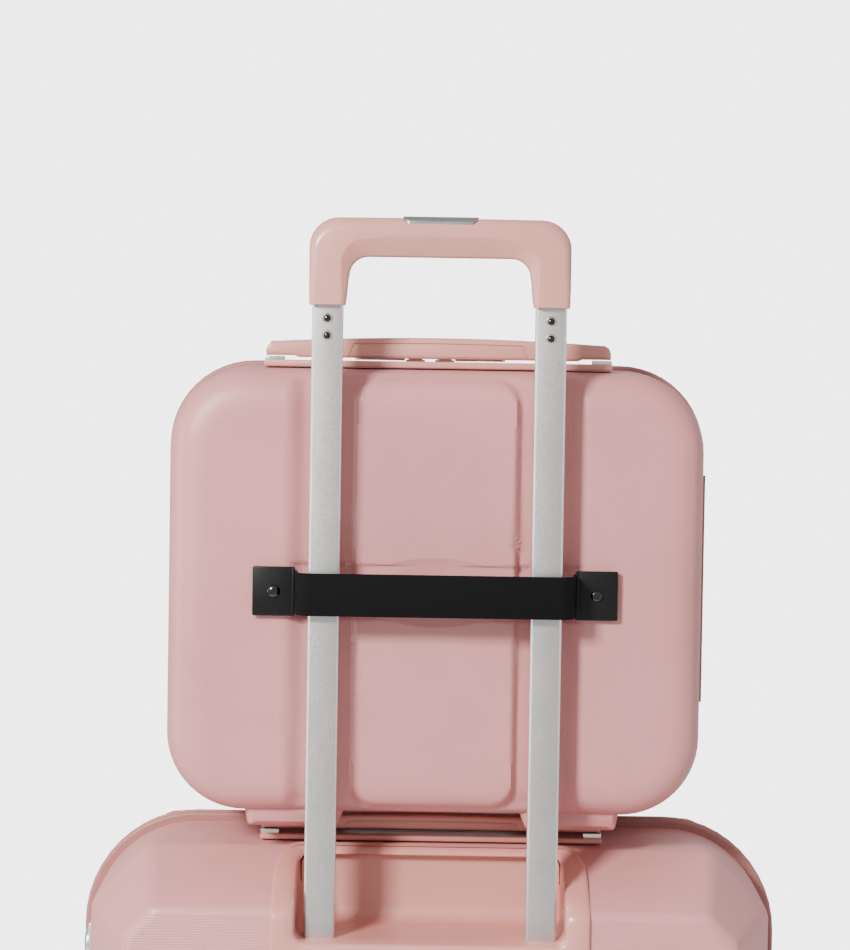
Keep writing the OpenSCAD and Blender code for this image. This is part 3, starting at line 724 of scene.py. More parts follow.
def on_rear(outline, proud):
    """Lays an outline on the suitcase's rear face and top chamfer, standing proud of it."""
    out = []
    for x, z in outline:
        lean = eased(z, TURN_Z - 6 * MM, TURN_Z + 5 * MM)
        out.append(Vector((x, -outside_y(z) - proud * (1 - 0.647 * lean), z + proud * 0.936 * lean)))
    return out


def dense(points, spacing=6 * MM):
    """The outline with its long stretches divided."""
    out = []
    for a, b in zip(points, points[1:] + points[:1]):
        a, b = Vector(a), Vector(b)
        count = max(1, round((b - a).length / spacing))
        out += [tuple(a.lerp(b, i / count)) for i in range(count)]
    return out


def handle_pocket():
    """The raised frame and the pocket with its curved floor."""
    bm = bmesh.new()
    pairs = [(frame_outline(0), -2.5), (frame_outline(0), 1.5), (frame_outline(0.7 * MM), 2.4),
             (frame_outline(2.0 * MM), 2.8), (pocket_outline(-5.0 * MM, 2.0 * MM), 2.4),
             (pocket_outline(-1.6 * MM, 2.7 * MM), 1.7), (pocket_outline(-0.5 * MM, 3.1 * MM), 0.9),
             (pocket_outline(0, 3.4 * MM), -0.6)]
    frame_rings = [on_rear(line, proud * MM) for line, proud in pairs]
    back_y = -FRAME_FRONT - 5 * MM
    walls = []
    for depth, inset in ((0.25, 0.2), (0.6, 0.5), (0.85, 1.2)):
        line = pocket_outline(inset * MM, 3.4 * MM)
        walls.append([Vector((x, -outside_y(z) * (1 - depth) + back_y * depth, z)) for x, z in line])
    for k in range(1, 6):
        a = math.radians(90 * k / 5)
        line = pocket_outline(1.2 * MM + 9 * MM * (1 - math.cos(a)), 3.4 * MM)
        y0 = -outside_y(POCKET_Z) * 0.15 + back_y * 0.85
        walls.append([Vector((x, y0 + (back_y - y0) * math.sin(a), z)) for x, z in line])
    loft(bm, [*frame_rings, *walls], cap_last=True)
    return bm


piece("handle_pocket_frame", handle_pocket(), "rear_half", FRAME_PINK, ["handle_housing"],
      smooth=40)


# ---- trolley handle ----

def tube_section(x, half_w, half_d, chamfer):
    """A tube's outline in X and Y: a flat face with a narrow bevel along each edge."""
    w, d, c = half_w, half_d, chamfer
    corners = [(x - w, TUBE_Y - d + c), (x - w + c * 1.15, TUBE_Y - d), (x + w - c * 1.15, TUBE_Y - d),
               (x + w, TUBE_Y - d + c), (x + w, TUBE_Y + d - c), (x + w - c, TUBE_Y + d),
               (x - w + c, TUBE_Y + d), (x - w, TUBE_Y + d - c)]
    return rounded(corners, 0.35 * MM, 2)


def sliding_tube(side):
    """One of the two hollow tubes that carry the grip."""
    name = "inner_tube_left" if side < 0 else "inner_tube_right"
    half_w = (high(name, X) - low(name, X)) / 2
    half_d = (high(name, Y) - low(name, Y)) / 2
    base, top = low(name, Z), GRIP_Z + 8 * MM
    outer = tube_section(side * TUBE_X, half_w, half_d, 1.15 * MM)
    inner = tube_section(side * TUBE_X, half_w - 1 * MM, half_d - 1 * MM, 0.8 * MM)
    rings = [[Vector((x, y, z)) for x, y in line]
             for line, z in ((inner, top), (outer, top), (outer, base), (inner, base))]
    piece(name + "_skin", closed_loft(rings), "trolley", TUBE_METAL, [name], smooth=20)


for tube_side in (-1, 1):
    sliding_tube(tube_side)


def grip_section(inner, outer, t):
    """A section of the grip between its inner and outer line. t is 0 at a leg, 1 in the bar."""
    half = GRIP_DEPTH / 2
    slope = 2.0 * MM + (11.5 - 2.0) * MM * t
    narrow = half - (1.5 + 5.0 * t) * MM
    n = (outer - inner).length
    top_round = (3.0 + 7.5 * t) * MM
    corners = [(0, narrow), (slope, half), (n, half), (n, -half), (slope, -half), (0, -narrow)]
    radii = [2.2 * MM, 2.5 * MM, top_round, top_round, 2.5 * MM, 2.2 * MM]
    way = (outer - inner).normalized()
    spots = [(inner + way * a, b) for a, b in rounded(corners, radii, 5)]
    return [Vector((p.x, TUBE_Y + y, p.y)) for p, y in spots]


BAR = 22.6 * MM
ROUND_OUT, ROUND_IN = 17 * MM, 11 * MM


def grip_path():
    """(inner point, outer point, t) up the left leg, round the corner and to the middle."""
    inner_x = -(GRIP_HALF - 23.2 * MM)
    inner_top = GRIP_TOP - BAR
    legs = [((inner_x - 2.2 * MM, GRIP_Z), (-GRIP_HALF + 0.4 * MM, GRIP_Z), 0.0),
            ((inner_x - 1.4 * MM, GRIP_Z + 5 * MM), (-GRIP_HALF + 0.1 * MM, GRIP_Z + 10 * MM), 0.05),
            ((inner_x - 0.3 * MM, inner_top - ROUND_IN - 0.5 * MM),
             (-GRIP_HALF, GRIP_TOP - ROUND_OUT - 6 * MM), 0.3)]
    inside = arc(inner_x + ROUND_IN, inner_top - ROUND_IN, ROUND_IN, 180, 90, 8)
    outside = arc(-GRIP_HALF + ROUND_OUT, GRIP_TOP - ROUND_OUT, ROUND_OUT, 180, 90, 8)
    bend = [(a, b, 0.35 + 0.65 * k / 8) for k, (a, b) in enumerate(zip(inside, outside))]
    bar = [((-30 * MM, inner_top), (-30 * MM, GRIP_TOP), 1.0), ((0, inner_top), (0, GRIP_TOP), 1.0)]
    return legs + bend + bar


def grip_form():
    """The whole grip as one skin over its sections."""
    left = [grip_section(Vector(a), Vector(b), t) for a, b, t in grip_path()]
    right = [[Vector((-p.x, p.y, p.z)) for p in section] for section in reversed(left[:-1])]
    bm = bmesh.new()
    loft(bm, left + right, cap_first=True, cap_last=True)
    finish_mesh(bm)
    return bm


def button_block(half_l, half_w, z0, z1):
    """An upright block with rounded corners through the grip's top."""
    outline = rounded([(half_l, TUBE_Y + half_w), (-half_l, TUBE_Y + half_w), (-half_l, TUBE_Y - half_w),
                       (half_l, TUBE_Y - half_w)], 4.5 * MM, 8)
    bm = bmesh.new()
    loft(bm, [[Vector((x, y, z)) for x, y in outline] for z in (z0, z1)], cap_first=True, cap_last=True)
    finish_mesh(bm)
    return bm


BUTTON_HALF = high("grip_button", X)
BUTTON_REACH = GRIP_DEPTH / 2 - 0.8 * MM


def button_cap():
    """The push button, curved over the top of the grip."""
    bm = bmesh.new()
    loft(bm, [grip_section(Vector((x, GRIP_TOP - BAR)), Vector((x, GRIP_TOP + 0.95 * MM)), 1.0)
              for x in (-BUTTON_HALF - 4 * MM, BUTTON_HALF + 4 * MM)], cap_first=True, cap_last=True)
    finish_mesh(bm)
    block = button_block(BUTTON_HALF, BUTTON_REACH, GRIP_TOP - 9 * MM, GRIP_TOP + 5 * MM)
    cap = cut(bm, block, "INTERSECT")
    finish_mesh(cap)
    rim = [e for e in cap.edges if e.is_manifold and 0.5 < e.calc_face_angle() < 2.6
           and (e.verts[0].co.z + e.verts[1].co.z) / 2 > GRIP_TOP - 7.5 * MM]
    bmesh.ops.bevel(cap, geom=rim, offset=0.7 * MM, offset_type="OFFSET", segments=3, profile=0.5,
                    affect="EDGES", material=-1, clamp_overlap=True)
    return cap


def trolley_grip():
    """The grip with a slot in its top, and the button in the slot."""
    gap = 0.45 * MM
    slot_hole = button_block(BUTTON_HALF + gap, BUTTON_REACH + gap, GRIP_TOP - 9.4 * MM, GRIP_TOP + 5 * MM)
    piece("trolley_grip_skin", cut(grip_form(), slot_hole), "trolley", FRAME_PINK,
          ["trolley_grip"], smooth=42)
    piece("grip_button_cap", button_cap(), "handle_button", BUTTON_METAL, ["grip_button"],
          smooth=35)


trolley_grip()


def grip_screws():
    """A domed rivet head in a bright ring, twice on each tube."""
    ring = in_mm((0, 0), (3.1, 0), (3.1, 0.25), (2.5, 0.6), (0, 0.4))
    angles = [math.radians(15 * k) for k in range(6)]
    crown = [(2.15 * MM * math.cos(a), 0.3 * MM + 1.05 * MM * math.sin(a)) for a in angles]
    dome = [*in_mm((0, 0.3)), *crown, *in_mm((0.35, 1.3), (0.3, 0.9), (0, 0.9))]
    places = [facing_rear(x, TUBE_Y - 6 * MM, GRIP_Z - down * MM)
              for x in (-TUBE_X, TUBE_X) for down in (8, 18)]
    rings = [turned(ring, 32, place_at) for place_at in places]
    domes = [turned(dome, 24, place_at) for place_at in places]
    piece("grip_screw_rings", merged("rings", *rings), "trolley", NICKEL, smooth=30)
    piece("grip_screw_domes", merged("domes", *domes), "trolley", DARK_NICKEL, ["grip_screws"],
          smooth=40)


grip_screws()


# ---- carry case shells ----

CASE_PROFILE = [(CASE_RIM_DEPTH, CASE_RIM_PROUD),
                *in_mm((50, 4.6), (59, 5.4), (65, 6.9), (69.5, 9.2), (72.6, 12.0), (74.8, 15.2),
                       (76.2, 18.6), (77.0, 22.0), (77.35, 25.5), (77.5, 29.0))]
STRAP_Z = middle("case_strap", Z)


def case_inset(depth):
    """The case's inset at a distance from its rim plane."""
    for (y0, i0), (y1, i1) in zip(CASE_PROFILE, CASE_PROFILE[1:]):
        if depth <= y1:
            return i0 + (i1 - i0) * max(0.0, depth - y0) / (y1 - y0)
    return CASE_PROFILE[-1][1]


def case_depth(inset):
    """The distance from the rim plane at an inset."""
    for (y0, i0), (y1, i1) in zip(CASE_PROFILE, CASE_PROFILE[1:]):
        if inset <= i1:
            return y0 + (y1 - y0) * (inset - i0) / (i1 - i0)
    return CASE_DEEP


def case_ring(inset, spacing):
    """The case's outline as the same count of points at every inset."""
    half_w = CASE_HALF - inset
    half_h = (CASE_TOP - CASE_BASE) / 2 - inset
    radius = max(CASE_CORNER_R - inset, min(14 * MM, half_h * 0.8))
    wide, tall = int(0.28 / spacing), int(0.2 / spacing)

    def corner_at(turn):
        return ((half_w - radius) * (1 if turn in (0, 270) else -1),
                (half_h - radius) * (1 if turn in (0, 90) else -1))

    points = []
    for turn in (0, 90, 180, 270):
        corner = arc(*corner_at(turn), radius, turn, turn + 90, 14)
        ahead = corner_at((turn + 90) % 360)
        end_angle = math.radians(turn + 90)
        end = (ahead[0] + radius * math.cos(end_angle), ahead[1] + radius * math.sin(end_angle))
        start = corner[-1]
        run = wide if turn in (0, 180) else tall
        points += corner
        points += [(start[0] + (end[0] - start[0]) * k / run, start[1] + (end[1] - start[1]) * k / run)
                   for k in range(1, run)]
    return [(x, CASE_MID + z) for x, z in points]


def back_relief(x, z, inset):
    """Depth of the tube channels, the strap's band and the finger scoop in the case's back."""
    up = z - CASE_MID
    dx = abs(x) - 46.2 * MM + 13 * MM
    dz = abs(up) - 125 * MM + 13 * MM
    outside = math.hypot(max(dx, 0), max(dz, 0)) + min(max(dx, dz), 0) - 13 * MM
    channel = eased(outside, 0, 3.0 * MM) * (1 - eased(abs(x), 77 * MM, 89 * MM))
    channel *= eased(inset, 5 * MM, 15 * MM)
    lift = z - STRAP_Z
    band = (1 - eased(abs(lift), 15.5 * MM, 16.3 * MM)) * (1 - eased(abs(x), 83 * MM, 85 * MM))
    spot = (x / 45.8) ** 2 + (lift / 20.4) ** 2
    dish = 4.4 * MM * max(0.0, 1 - spot / MM ** 2)
    return 5 * MM * channel + max(1.8 * MM * band, dish * (1 - channel))


def case_insets():
    """Insets of the case's rings, closer where the back turns and where the channels end."""
    edge = [inset for _, inset in CASE_PROFILE[:3]]
    edge += [inset * MM for inset in (6.1, 6.9, 8, 9.2, 10.5, 12, 13.6, 15.2, 17, 19)]
    broad = [(21.5 + 2.4 * k) * MM for k in range(37)]
    fine = [(109.5 + 0.5 * k) * MM for k in range(24)]
    return [*edge, *broad, *fine, 123.5 * MM, 126 * MM, 128.5 * MM]


def case_rear_piece():
    """The case's back, with its channels, strap band and scoop."""
    rings = []
    for inset in case_insets():
        depth = case_depth(inset)
        rings.append([Vector((x, CASE_Y - depth + back_relief(x, z, inset), z))
                      for x, z in case_ring(inset, 2.0 * MM)])
    bm = bmesh.new()
    loft(bm, rings, cap_last=True)
    piece("case_rear_skin", bm, "carry_case", CASE_PINK, ["case_rear_shell"], smooth=50)


def half_width(line, z):
    """Half the width of the case's outline at a height."""
    return max((abs(x) for x, height in line if abs(height - z) < 3 * MM), default=0)


def case_front_piece():
    """The case's front, with a sheet of ribs on its flat."""
    insets = [inset for _, inset in CASE_PROFILE] + [60 * MM, 110 * MM]
    rings = [[Vector((x, CASE_Y + case_depth(inset), z)) for x, z in case_ring(inset, 8 * MM)]
             for inset in insets]
    bm = bmesh.new()
    loft(bm, rings, cap_last=True)
    piece("case_front_skin", bm, "case_front", CASE_PINK, ["case_front_shell"], smooth=50)
    line = dense(case_ring(27 * MM, 3 * MM), 1.5 * MM)
    low_z, high_z = CASE_BASE + 30 * MM, CASE_TOP - 30 * MM
    rows = int((high_z - low_z) / RIB_PITCH) * RIB_ROWS
    ribs = bmesh.new()
    bmesh.ops.create_grid(ribs, x_segments=9, y_segments=rows, size=0.5)
    for vert in ribs.verts:
        row = round((vert.co.y + 0.5) * rows)
        z = low_z + (high_z - low_z) * row / rows
        wave = 0.5 - 0.5 * math.cos(math.tau * row / RIB_ROWS)
        edge = abs(vert.co.x) > 0.499 or row in (0, rows)
        lift = -RIB_TUCK if edge else RIB_BASE + RIB_HEIGHT * wave
        vert.co = Vector((vert.co.x * 2 * half_width(line, z), CASE_Y + CASE_DEEP + lift, z))
    piece("case_front_ribs", ribs, "case_front", CASE_PINK, smooth=80, merge=0)


case_rear_piece()
case_front_piece()


FOOT_X, FOOT_HALF, FOOT_ROUND = 83 * MM, 26.5 * MM, 3 * MM


def foot_form(side, y0, y1):
    """A foot that narrows downwards, with its top laid against the case."""
    foot_z = low("case_rear_feet", Z)
    bm = bmesh.new()
    rings = []
    for k in range(9):
        y = y0 + (y1 - y0) * k / 8
        inner = min(min(y - y0, y1 - y), FOOT_ROUND)
        draw = FOOT_ROUND - math.sqrt(max(0.0, FOOT_ROUND ** 2 - (FOOT_ROUND - inner) ** 2))
        top = CASE_BASE + case_inset(abs(y - CASE_Y)) + 0.7 * MM
        rise = top - foot_z
        corners = [(-FOOT_HALF + draw, foot_z + draw), (FOOT_HALF - draw, foot_z + draw),
                   (FOOT_HALF + 0.42 * rise - draw, top), (-FOOT_HALF - 0.2 * rise + draw, top)]
        line = rounded([(-x, z) for x, z in corners] if side > 0 else corners, [3.2 * MM, 3.2 * MM, 0, 0], 5)
        rings.append([Vector((side * FOOT_X + x, y, z)) for x, z in line])
    loft(bm, rings, cap_first=True, cap_last=True)
    return bm


def case_feet():
    """A pair of feet on each half of the case."""
    for name, node, body in (("case_rear_foot", "case_rear_feet", "carry_case"),
                             ("case_front_foot", "case_front_feet", "case_front")):
        forms = [foot_form(side, low(node, Y), high(node, Y)) for side in (-1, 1)]
        piece(name + "_pair", merged(name, *forms), body, CASE_PINK, [node], smooth=45)


case_feet()


# ---- strap ----

def strap_path():
    """The strap's middle line in X and Y with the length run, from the left plate to the right one."""
    back = low("case_strap", Y) + 1 * MM
    half = high("case_strap", X)
    wall = low("strap_plates", Y) + 4 * MM
    corners = [(-half + 3 * MM, wall), (-82.2 * MM, wall), (-79.8 * MM, back), (79.8 * MM, back),
               (82.2 * MM, wall), (half - 3 * MM, wall)]
    return rounded(corners, [0, 2.6 * MM, 7.5 * MM, 7.5 * MM, 2.6 * MM, 0], 7, closed=False)


def strap():
    """The woven band, as one skin along its path."""
    path = [Vector(p) for p in strap_path()]
    section = rounded(in_mm((0.9, 12.4), (-0.9, 12.4), (-0.9, -12.4), (0.9, -12.4)), 0.6 * MM, 3)
    rings = []
    for k, spot in enumerate(path):
        ahead = path[min(k + 1, len(path) - 1)] - path[max(k - 1, 0)]
        out = Vector((ahead.y, -ahead.x)).normalized()
        rings.append([Vector((spot.x + out.x * t, spot.y + out.y * t, STRAP_Z + z)) for t, z in section])
    bm = bmesh.new()
    loft(bm, rings, cap_first=True, cap_last=True)
    piece("strap_band", bm, "carry_case", ELASTIC, ["case_strap"], smooth=50)


PLATE_INNER_X = 82.4 * MM


def strap_fixings():
    """A plate with a raised lip beside the strap, and its screw, at each end."""
    face, back = low("strap_plates", Y), high("strap_plates", Y)
    mid_x = (high("strap_plates", X) + PLATE_INNER_X) / 2
    plates, screws = [], []
    for side in (-1, 1):
        x = side * mid_x
        plates.append(box_bm((x - 12.5 * MM, face, STRAP_Z - 14.5 * MM),
                             (x + 12.5 * MM, back, STRAP_Z + 14.5 * MM), 0.9 * MM))
        inner = side * 82.6 * MM
        lip = sorted((inner, inner + side * 1.6 * MM))
        plates.append(box_bm((lip[0], face - 0.45 * MM, STRAP_Z - 14.2 * MM),
                             (lip[1], back, STRAP_Z + 14.2 * MM), 0.4 * MM))
    profile = [(3.9 * MM * math.cos(math.radians(11 * k)), 1.9 * MM * math.sin(math.radians(11 * k)))
               for k in range(9)]
    screws.append(turned([*profile, (0, profile[-1][1])], 40, facing_rear(-mid_x, face, STRAP_Z)))
    right_screw = facing_rear(mid_x, face, STRAP_Z)
    head = turned(in_mm((0, 0), (3.5, 0), (3.4, 0.7), (2.9, 1.5), (2.0, 1.8), (0, 1.8)), 40, right_screw)
    for turn in (0, 90):
        slot_bm = box_bm((-1.7 * MM, -0.35 * MM, 0.8 * MM), (1.7 * MM, 0.35 * MM, 3 * MM))
        bmesh.ops.transform(slot_bm, verts=slot_bm.verts,
                            matrix=right_screw @ Matrix.Rotation(math.radians(turn + 20), 4, "Z"))
        head = cut(head, slot_bm)
    screws.append(head)
    piece("strap_end_plates", merged("plates", *plates), "carry_case", GLOSS_BLACK,
          ["strap_plates"], smooth=35)
    piece("strap_screw_heads", merged("screws", *screws), "carry_case", SCREW_BLACK,
          ["strap_screws"], smooth=40)


strap()
strap_fixings()


# ---- carry handles ----

CARRY_HALF = (high("top_handle_grip", X) - low("top_handle_grip", X)) / 2
CARRY_DEPTH = 10 * MM


def grip_elevation(top, end_top, under, half, block_low):
    """A carry grip's side outline: end blocks and an arched bar between them."""
    count = 20
    crown = [(half * (1 - 2 * k / count) * 0.965, end_top + (top - end_top) * (1 - (1 - 2 * k / count) ** 2))
             for k in range(count + 1)]
    right = [(half, block_low), (half, end_top - 4.6 * MM), (half - 1.2 * MM, end_top - 1.5 * MM)]
    left = [(-x, z) for x, z in reversed(right)]
    block = 17 * MM
    notch = [(-half + block, block_low), (-half + block + 2.4 * MM, under), (half - block - 2.4 * MM, under),
             (half - block, block_low)]
    return [*right, *crown, *left, *notch]


def side_panel(top, under, grow):
    """The long panel let into each side of a grip."""
    half = 54 * MM + grow
    rise = top - 3.3 * MM + grow
    low_z = under + 0.9 * MM - grow
    shoulder = (half - 3.4 * MM, rise - 0.5 * MM)
    return [(half, low_z), shoulder, (0, rise + 0.1 * MM), (-shoulder[0], shoulder[1]), (-half, low_z)]


def carry_handle(name, matrix, body, node, top, end_top, under):
    """A carry grip with its panels, in silver-edged ends."""
    outline = grip_elevation(top, end_top, under, CARRY_HALF, 3.5 * MM)
    grip = upright_prism(outline, -CARRY_DEPTH, CARRY_DEPTH, 2.2 * MM, 3)
    panels = []
    for side in (-1, 1):
        y0, y1 = sorted((side * (CARRY_DEPTH - 0.8 * MM), side * (CARRY_DEPTH + 3 * MM)))
        grip = cut(grip, upright_prism(side_panel(top, under, 0), y0, y1))
        y0, y1 = sorted((side * (CARRY_DEPTH - 1.4 * MM), side * (CARRY_DEPTH - 0.25 * MM)))
        panels.append(upright_prism(side_panel(top, under, -0.4 * MM), y0, y1, 0.2 * MM, 2))
    trims = []
    for side in (-1, 1):
        curve = [(CARRY_HALF + 0.1 * MM, 3.8 * MM), (CARRY_HALF + 0.1 * MM, end_top - 4.5 * MM),
                 (CARRY_HALF - 1.1 * MM, end_top - 1.3 * MM), (CARRY_HALF - 4.2 * MM, end_top + 0.35 * MM)]
        curve = rounded(curve, 3 * MM, 5, closed=False)
        strip = [*curve, *[(x - 1.1 * MM, z - 0.5 * MM) for x, z in reversed(curve)]]
        trims.append(upright_prism([(side * x, z) for x, z in strip], -CARRY_DEPTH + 1.6 * MM,
                                   CARRY_DEPTH - 1.6 * MM, 0.3 * MM, 2))
    for part in (grip, *panels, *trims):
        bmesh.ops.transform(part, verts=part.verts, matrix=matrix)
    piece(name + "_bar", grip, body, FRAME_PINK, [node], smooth=30)
    piece(name + "_panels", merged("panels", *panels), body, FRAME_PINK, smooth=30)
    piece(name + "_trims", merged("trims", *trims), body, BRIGHT_METAL, smooth=30)


def handle_seat(name, matrix, body, replaced, rise=0.0):
    """The base strip and the silver brackets that a carry grip slides in."""
    base = box_bm((-CARRY_HALF - 1 * MM, -CARRY_DEPTH - 1.8 * MM, -3.2 * MM),
                  (CARRY_HALF + 1 * MM, CARRY_DEPTH + 1.8 * MM, rise), 1.0 * MM)
    brackets = []
    for side in (-1, 1):
        x0, x1 = sorted((side * (CARRY_HALF - 10.5 * MM), side * (CARRY_HALF + 0.6 * MM)))
        brackets.append(box_bm((x0, -CARRY_DEPTH + 0.6 * MM, -0.4 * MM),
                               (x1, CARRY_DEPTH - 0.6 * MM, 2.9 * MM), 0.5 * MM))
    brackets = merged("brackets", *brackets)
    for part in (base, brackets):
        bmesh.ops.transform(part, verts=part.verts, matrix=matrix)
    piece(name + "_base_strip", base, body, FRAME_PINK, replaced, smooth=35)
    piece(name + "_brackets", brackets, body, BRIGHT_METAL, smooth=35)


ON_TOP = Matrix.Translation((0, middle("top_handle_grip", Y), high("top_handle_grip", Z) - 12.5 * MM))
ON_SIDE = (Matrix.Translation((low("side_handle_grip", X) + 12.5 * MM, middle("side_handle_grip", Y),
                               middle("side_handle_grip", Z))) @ Matrix.Rotation(math.radians(-90), 4, "Y"))
ON_CASE = Matrix.Translation((0, middle("case_handle_grip", Y), high("case_handle_grip", Z) - 15 * MM))
carry_handle("top_handle", ON_TOP, "top_handle", "top_handle_grip", 12.5 * MM, 10.8 * MM, 3.6 * MM)
carry_handle("side_handle", ON_SIDE, "side_handle", "side_handle_grip", 12.5 * MM, 10.8 * MM, 3.6 * MM)
carry_handle("case_handle", ON_CASE, "case_handle", "case_handle_grip", 15 * MM, 11.8 * MM, 2.4 * MM)
handle_seat("top_handle", ON_TOP, "rear_half", ["handle_bases", "handle_brackets"])
handle_seat("side_handle", ON_SIDE, "rear_half", [])
handle_seat("case_handle", ON_CASE, "carry_case", ["case_handle_base"], 0.8 * MM)


# ---- zip sliders, pulls and the lock ----

def case_slider_form(node, way):
    """A zip slider: a waisted body with a bridge over it."""
    x0, x1, z0 = low(node, X), high(node, X), low(node, Z)
    mid_x, mid_y, half = (x0 + x1) / 2, middle(node, Y), (x1 - x0) / 2
    upper = [(1, 2.2), (0.3, 3.8), (-0.4, 3.8), (-1, 3.0)]
    lower = [(a, -b) for a, b in reversed(upper)]
    outline = [(mid_x + half * a, mid_y + b * MM) for a, b in [*upper, *lower]]
    outline = [(2 * mid_x - x if way < 0 else x, y) for x, y in outline]
    bm = bmesh.new()
    loft(bm, [[Vector((x, y, z)) for x, y in rounded(outline, 0.8 * MM, 3)] for z in
              (z0, z0 + 0.8 * MM, z0 + 1.3 * MM)], cap_first=True, cap_last=True)
    bridge = box_bm((mid_x - half * 0.75, mid_y - 1.2 * MM, z0 + 0.6 * MM),
                    (mid_x + half * 0.75, mid_y + 1.2 * MM, z0 + 3 * MM), 0.9 * MM)
    return merged("slider", bm, bridge)


def case_pull_form(node, way):
    """A long flat pull with a waist and a round end."""
    x0, x1 = low(node, X), high(node, X)
    near, far = (x1, x0) if way < 0 else (x0, x1)
    mid_y, z = middle(node, Y), middle(node, Z)
    length = abs(far - near)
    widths = [(0.0, 1.5), (0.06, 2.4), (0.14, 2.2), (0.3, 1.7), (0.55, 2.0), (0.85, 2.8), (0.95, 2.4),
              (1.0, 0.9)]
    upper = [(near + way * length * t, mid_y + w * MM) for t, w in widths]
    lower = [(x, 2 * mid_y - y) for x, y in reversed(upper)]
    outline = rounded([*upper, *lower], 0.6 * MM, 3)
    layers = ((-0.85 * MM, 0.03), (-0.5 * MM, 0), (0.4 * MM, 0), (0.85 * MM, 0.05))
    bm = bmesh.new()
    loft(bm, [[Vector((x + (near + way * length / 2 - x) * s, y + (mid_y - y) * s * 3, z + h))
               for x, y in outline] for h, s in layers], cap_first=True, cap_last=True)
    return bm


for zip_side, zip_way in (("left", -1), ("right", 1)):
    piece(f"case_slider_{zip_side}_form", case_slider_form(f"case_slider_{zip_side}", zip_way),
          f"case_zip_{zip_side}", CHAMPAGNE, [f"case_slider_{zip_side}"], smooth=35)
    piece(f"case_pull_{zip_side}_form", case_pull_form(f"case_pull_{zip_side}", zip_way),
          f"zip_pull_{zip_side}", CHAMPAGNE, [f"case_pull_{zip_side}"], smooth=35)


def side_slider_form(node):
    """A slider on the rim with its short pull lying over the lock plate."""
    mid_z = middle(node, Z)
    x0, x1 = low(node, X), -RIM_HALF - 0.3 * MM
    body = box_bm((x0 + 1.2 * MM, -3.8 * MM, mid_z - 5.8 * MM), (x1, 3.8 * MM, mid_z + 5.8 * MM), 0.7 * MM)
    bridge = box_bm((x0, -1.3 * MM, mid_z - 4.2 * MM), (x1, 1.3 * MM, mid_z + 4.2 * MM), 0.9 * MM)
    out_x, in_x, end_y = -RIM_HALF - 3.6 * MM, high(node, X), low(node, Y)
    line = [(out_x, -2.5 * MM), (x1, -2.5 * MM), (x1, -7.5 * MM), (in_x, -13.5 * MM), (in_x, end_y),
            (in_x - 2.2 * MM, end_y), (in_x - 2.2 * MM, -13 * MM), (out_x, -7 * MM)]
    tongue = bmesh.new()
    loft(tongue, [[Vector((x, y, mid_z + dz * MM)) for x, y in rounded(line, 0.4 * MM, 3)]
                  for dz in (-2.8, 2.8)], cap_first=True, cap_last=True)
    finish_mesh(tongue)
    return merged(node, body, bridge, tongue)


for part_name in ("upper", "lower"):
    piece(f"side_slider_{part_name}", side_slider_form(f"suitcase_slider_{part_name}"), f"zip_{part_name}",
          NICKEL, [f"suitcase_slider_{part_name}"], smooth=35)


def lock():
    """The lock's plate on the side, with its round press button in a bright collar."""
    lo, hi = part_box("lock_body")
    plate = box_bm(lo, (-RIM_HALF + RIM_PROUD + 4 * MM, hi[1], hi[2]), 1.4 * MM, 4)
    dome_y, dome_z = middle("lock_button", Y), middle("lock_button", Z)
    facing_left = Matrix.Translation((lo[0], dome_y, dome_z)) @ Matrix.Rotation(math.radians(-90), 4, "Y")
    plate = cut(plate, turned(in_mm((0, -2.6), (10.2, -2.6), (10.2, 2), (0, 2)), 48, facing_left))
    collar = turned(in_mm((10.3, -0.4), (11.8, -0.4), (11.6, 0.5), (10.7, 0.6), (10.3, 0.2)), 64, facing_left)
    piece("lock_plate", plate, "rear_half", TUBE_METAL, ["lock_body"], smooth=35)
    piece("lock_collar", collar, "rear_half", BRIGHT_METAL, smooth=35)
    dome = in_mm((0, -1.5), (9.9, -1.5), (9.9, 0.4), (9.4, 1.3), (8.2, 2.1), (6.4, 2.7), (4.0, 2.95),
                 (3.4, 2.6), (0, 2.5))
    piece("lock_press_dome", turned(dome, 64, facing_left), "lock_press", BRIGHT_METAL,
          ["lock_button"], smooth=40)


lock()


# ---- casters and side feet ----

CUP_R = 28 * MM
PLATE_Z, PLATE_TOP = 47 * MM, 50 * MM
AXLE_Z = 22 * MM
WHEEL_OFF = 9.6 * MM


def caster_housing(end, body, node):
    """The cup that each swivel plate turns under, flush with the shell's bottom."""
    y, z0 = middle(node, Y), low(node, Z)
    profile = [(r * MM, z0 + rise * MM) for r, rise in
               ((5.2, 38), (5.2, 1.2), (17.5, 1.2), (18.2, 0), (26.6, 0), (27.8, 1.0), (28, 3), (28, 34),
                (22, 40), (5.2, 40), (5.2, 38))]
    forms = [turned(profile, 64, Matrix.Translation((side * (high(node, X) - CUP_R), y, 0)))
             for side in (-1, 1)]
    piece(end + "_caster_cups", merged("cups", *forms), body, SOFT_BLACK, [node], smooth=35)


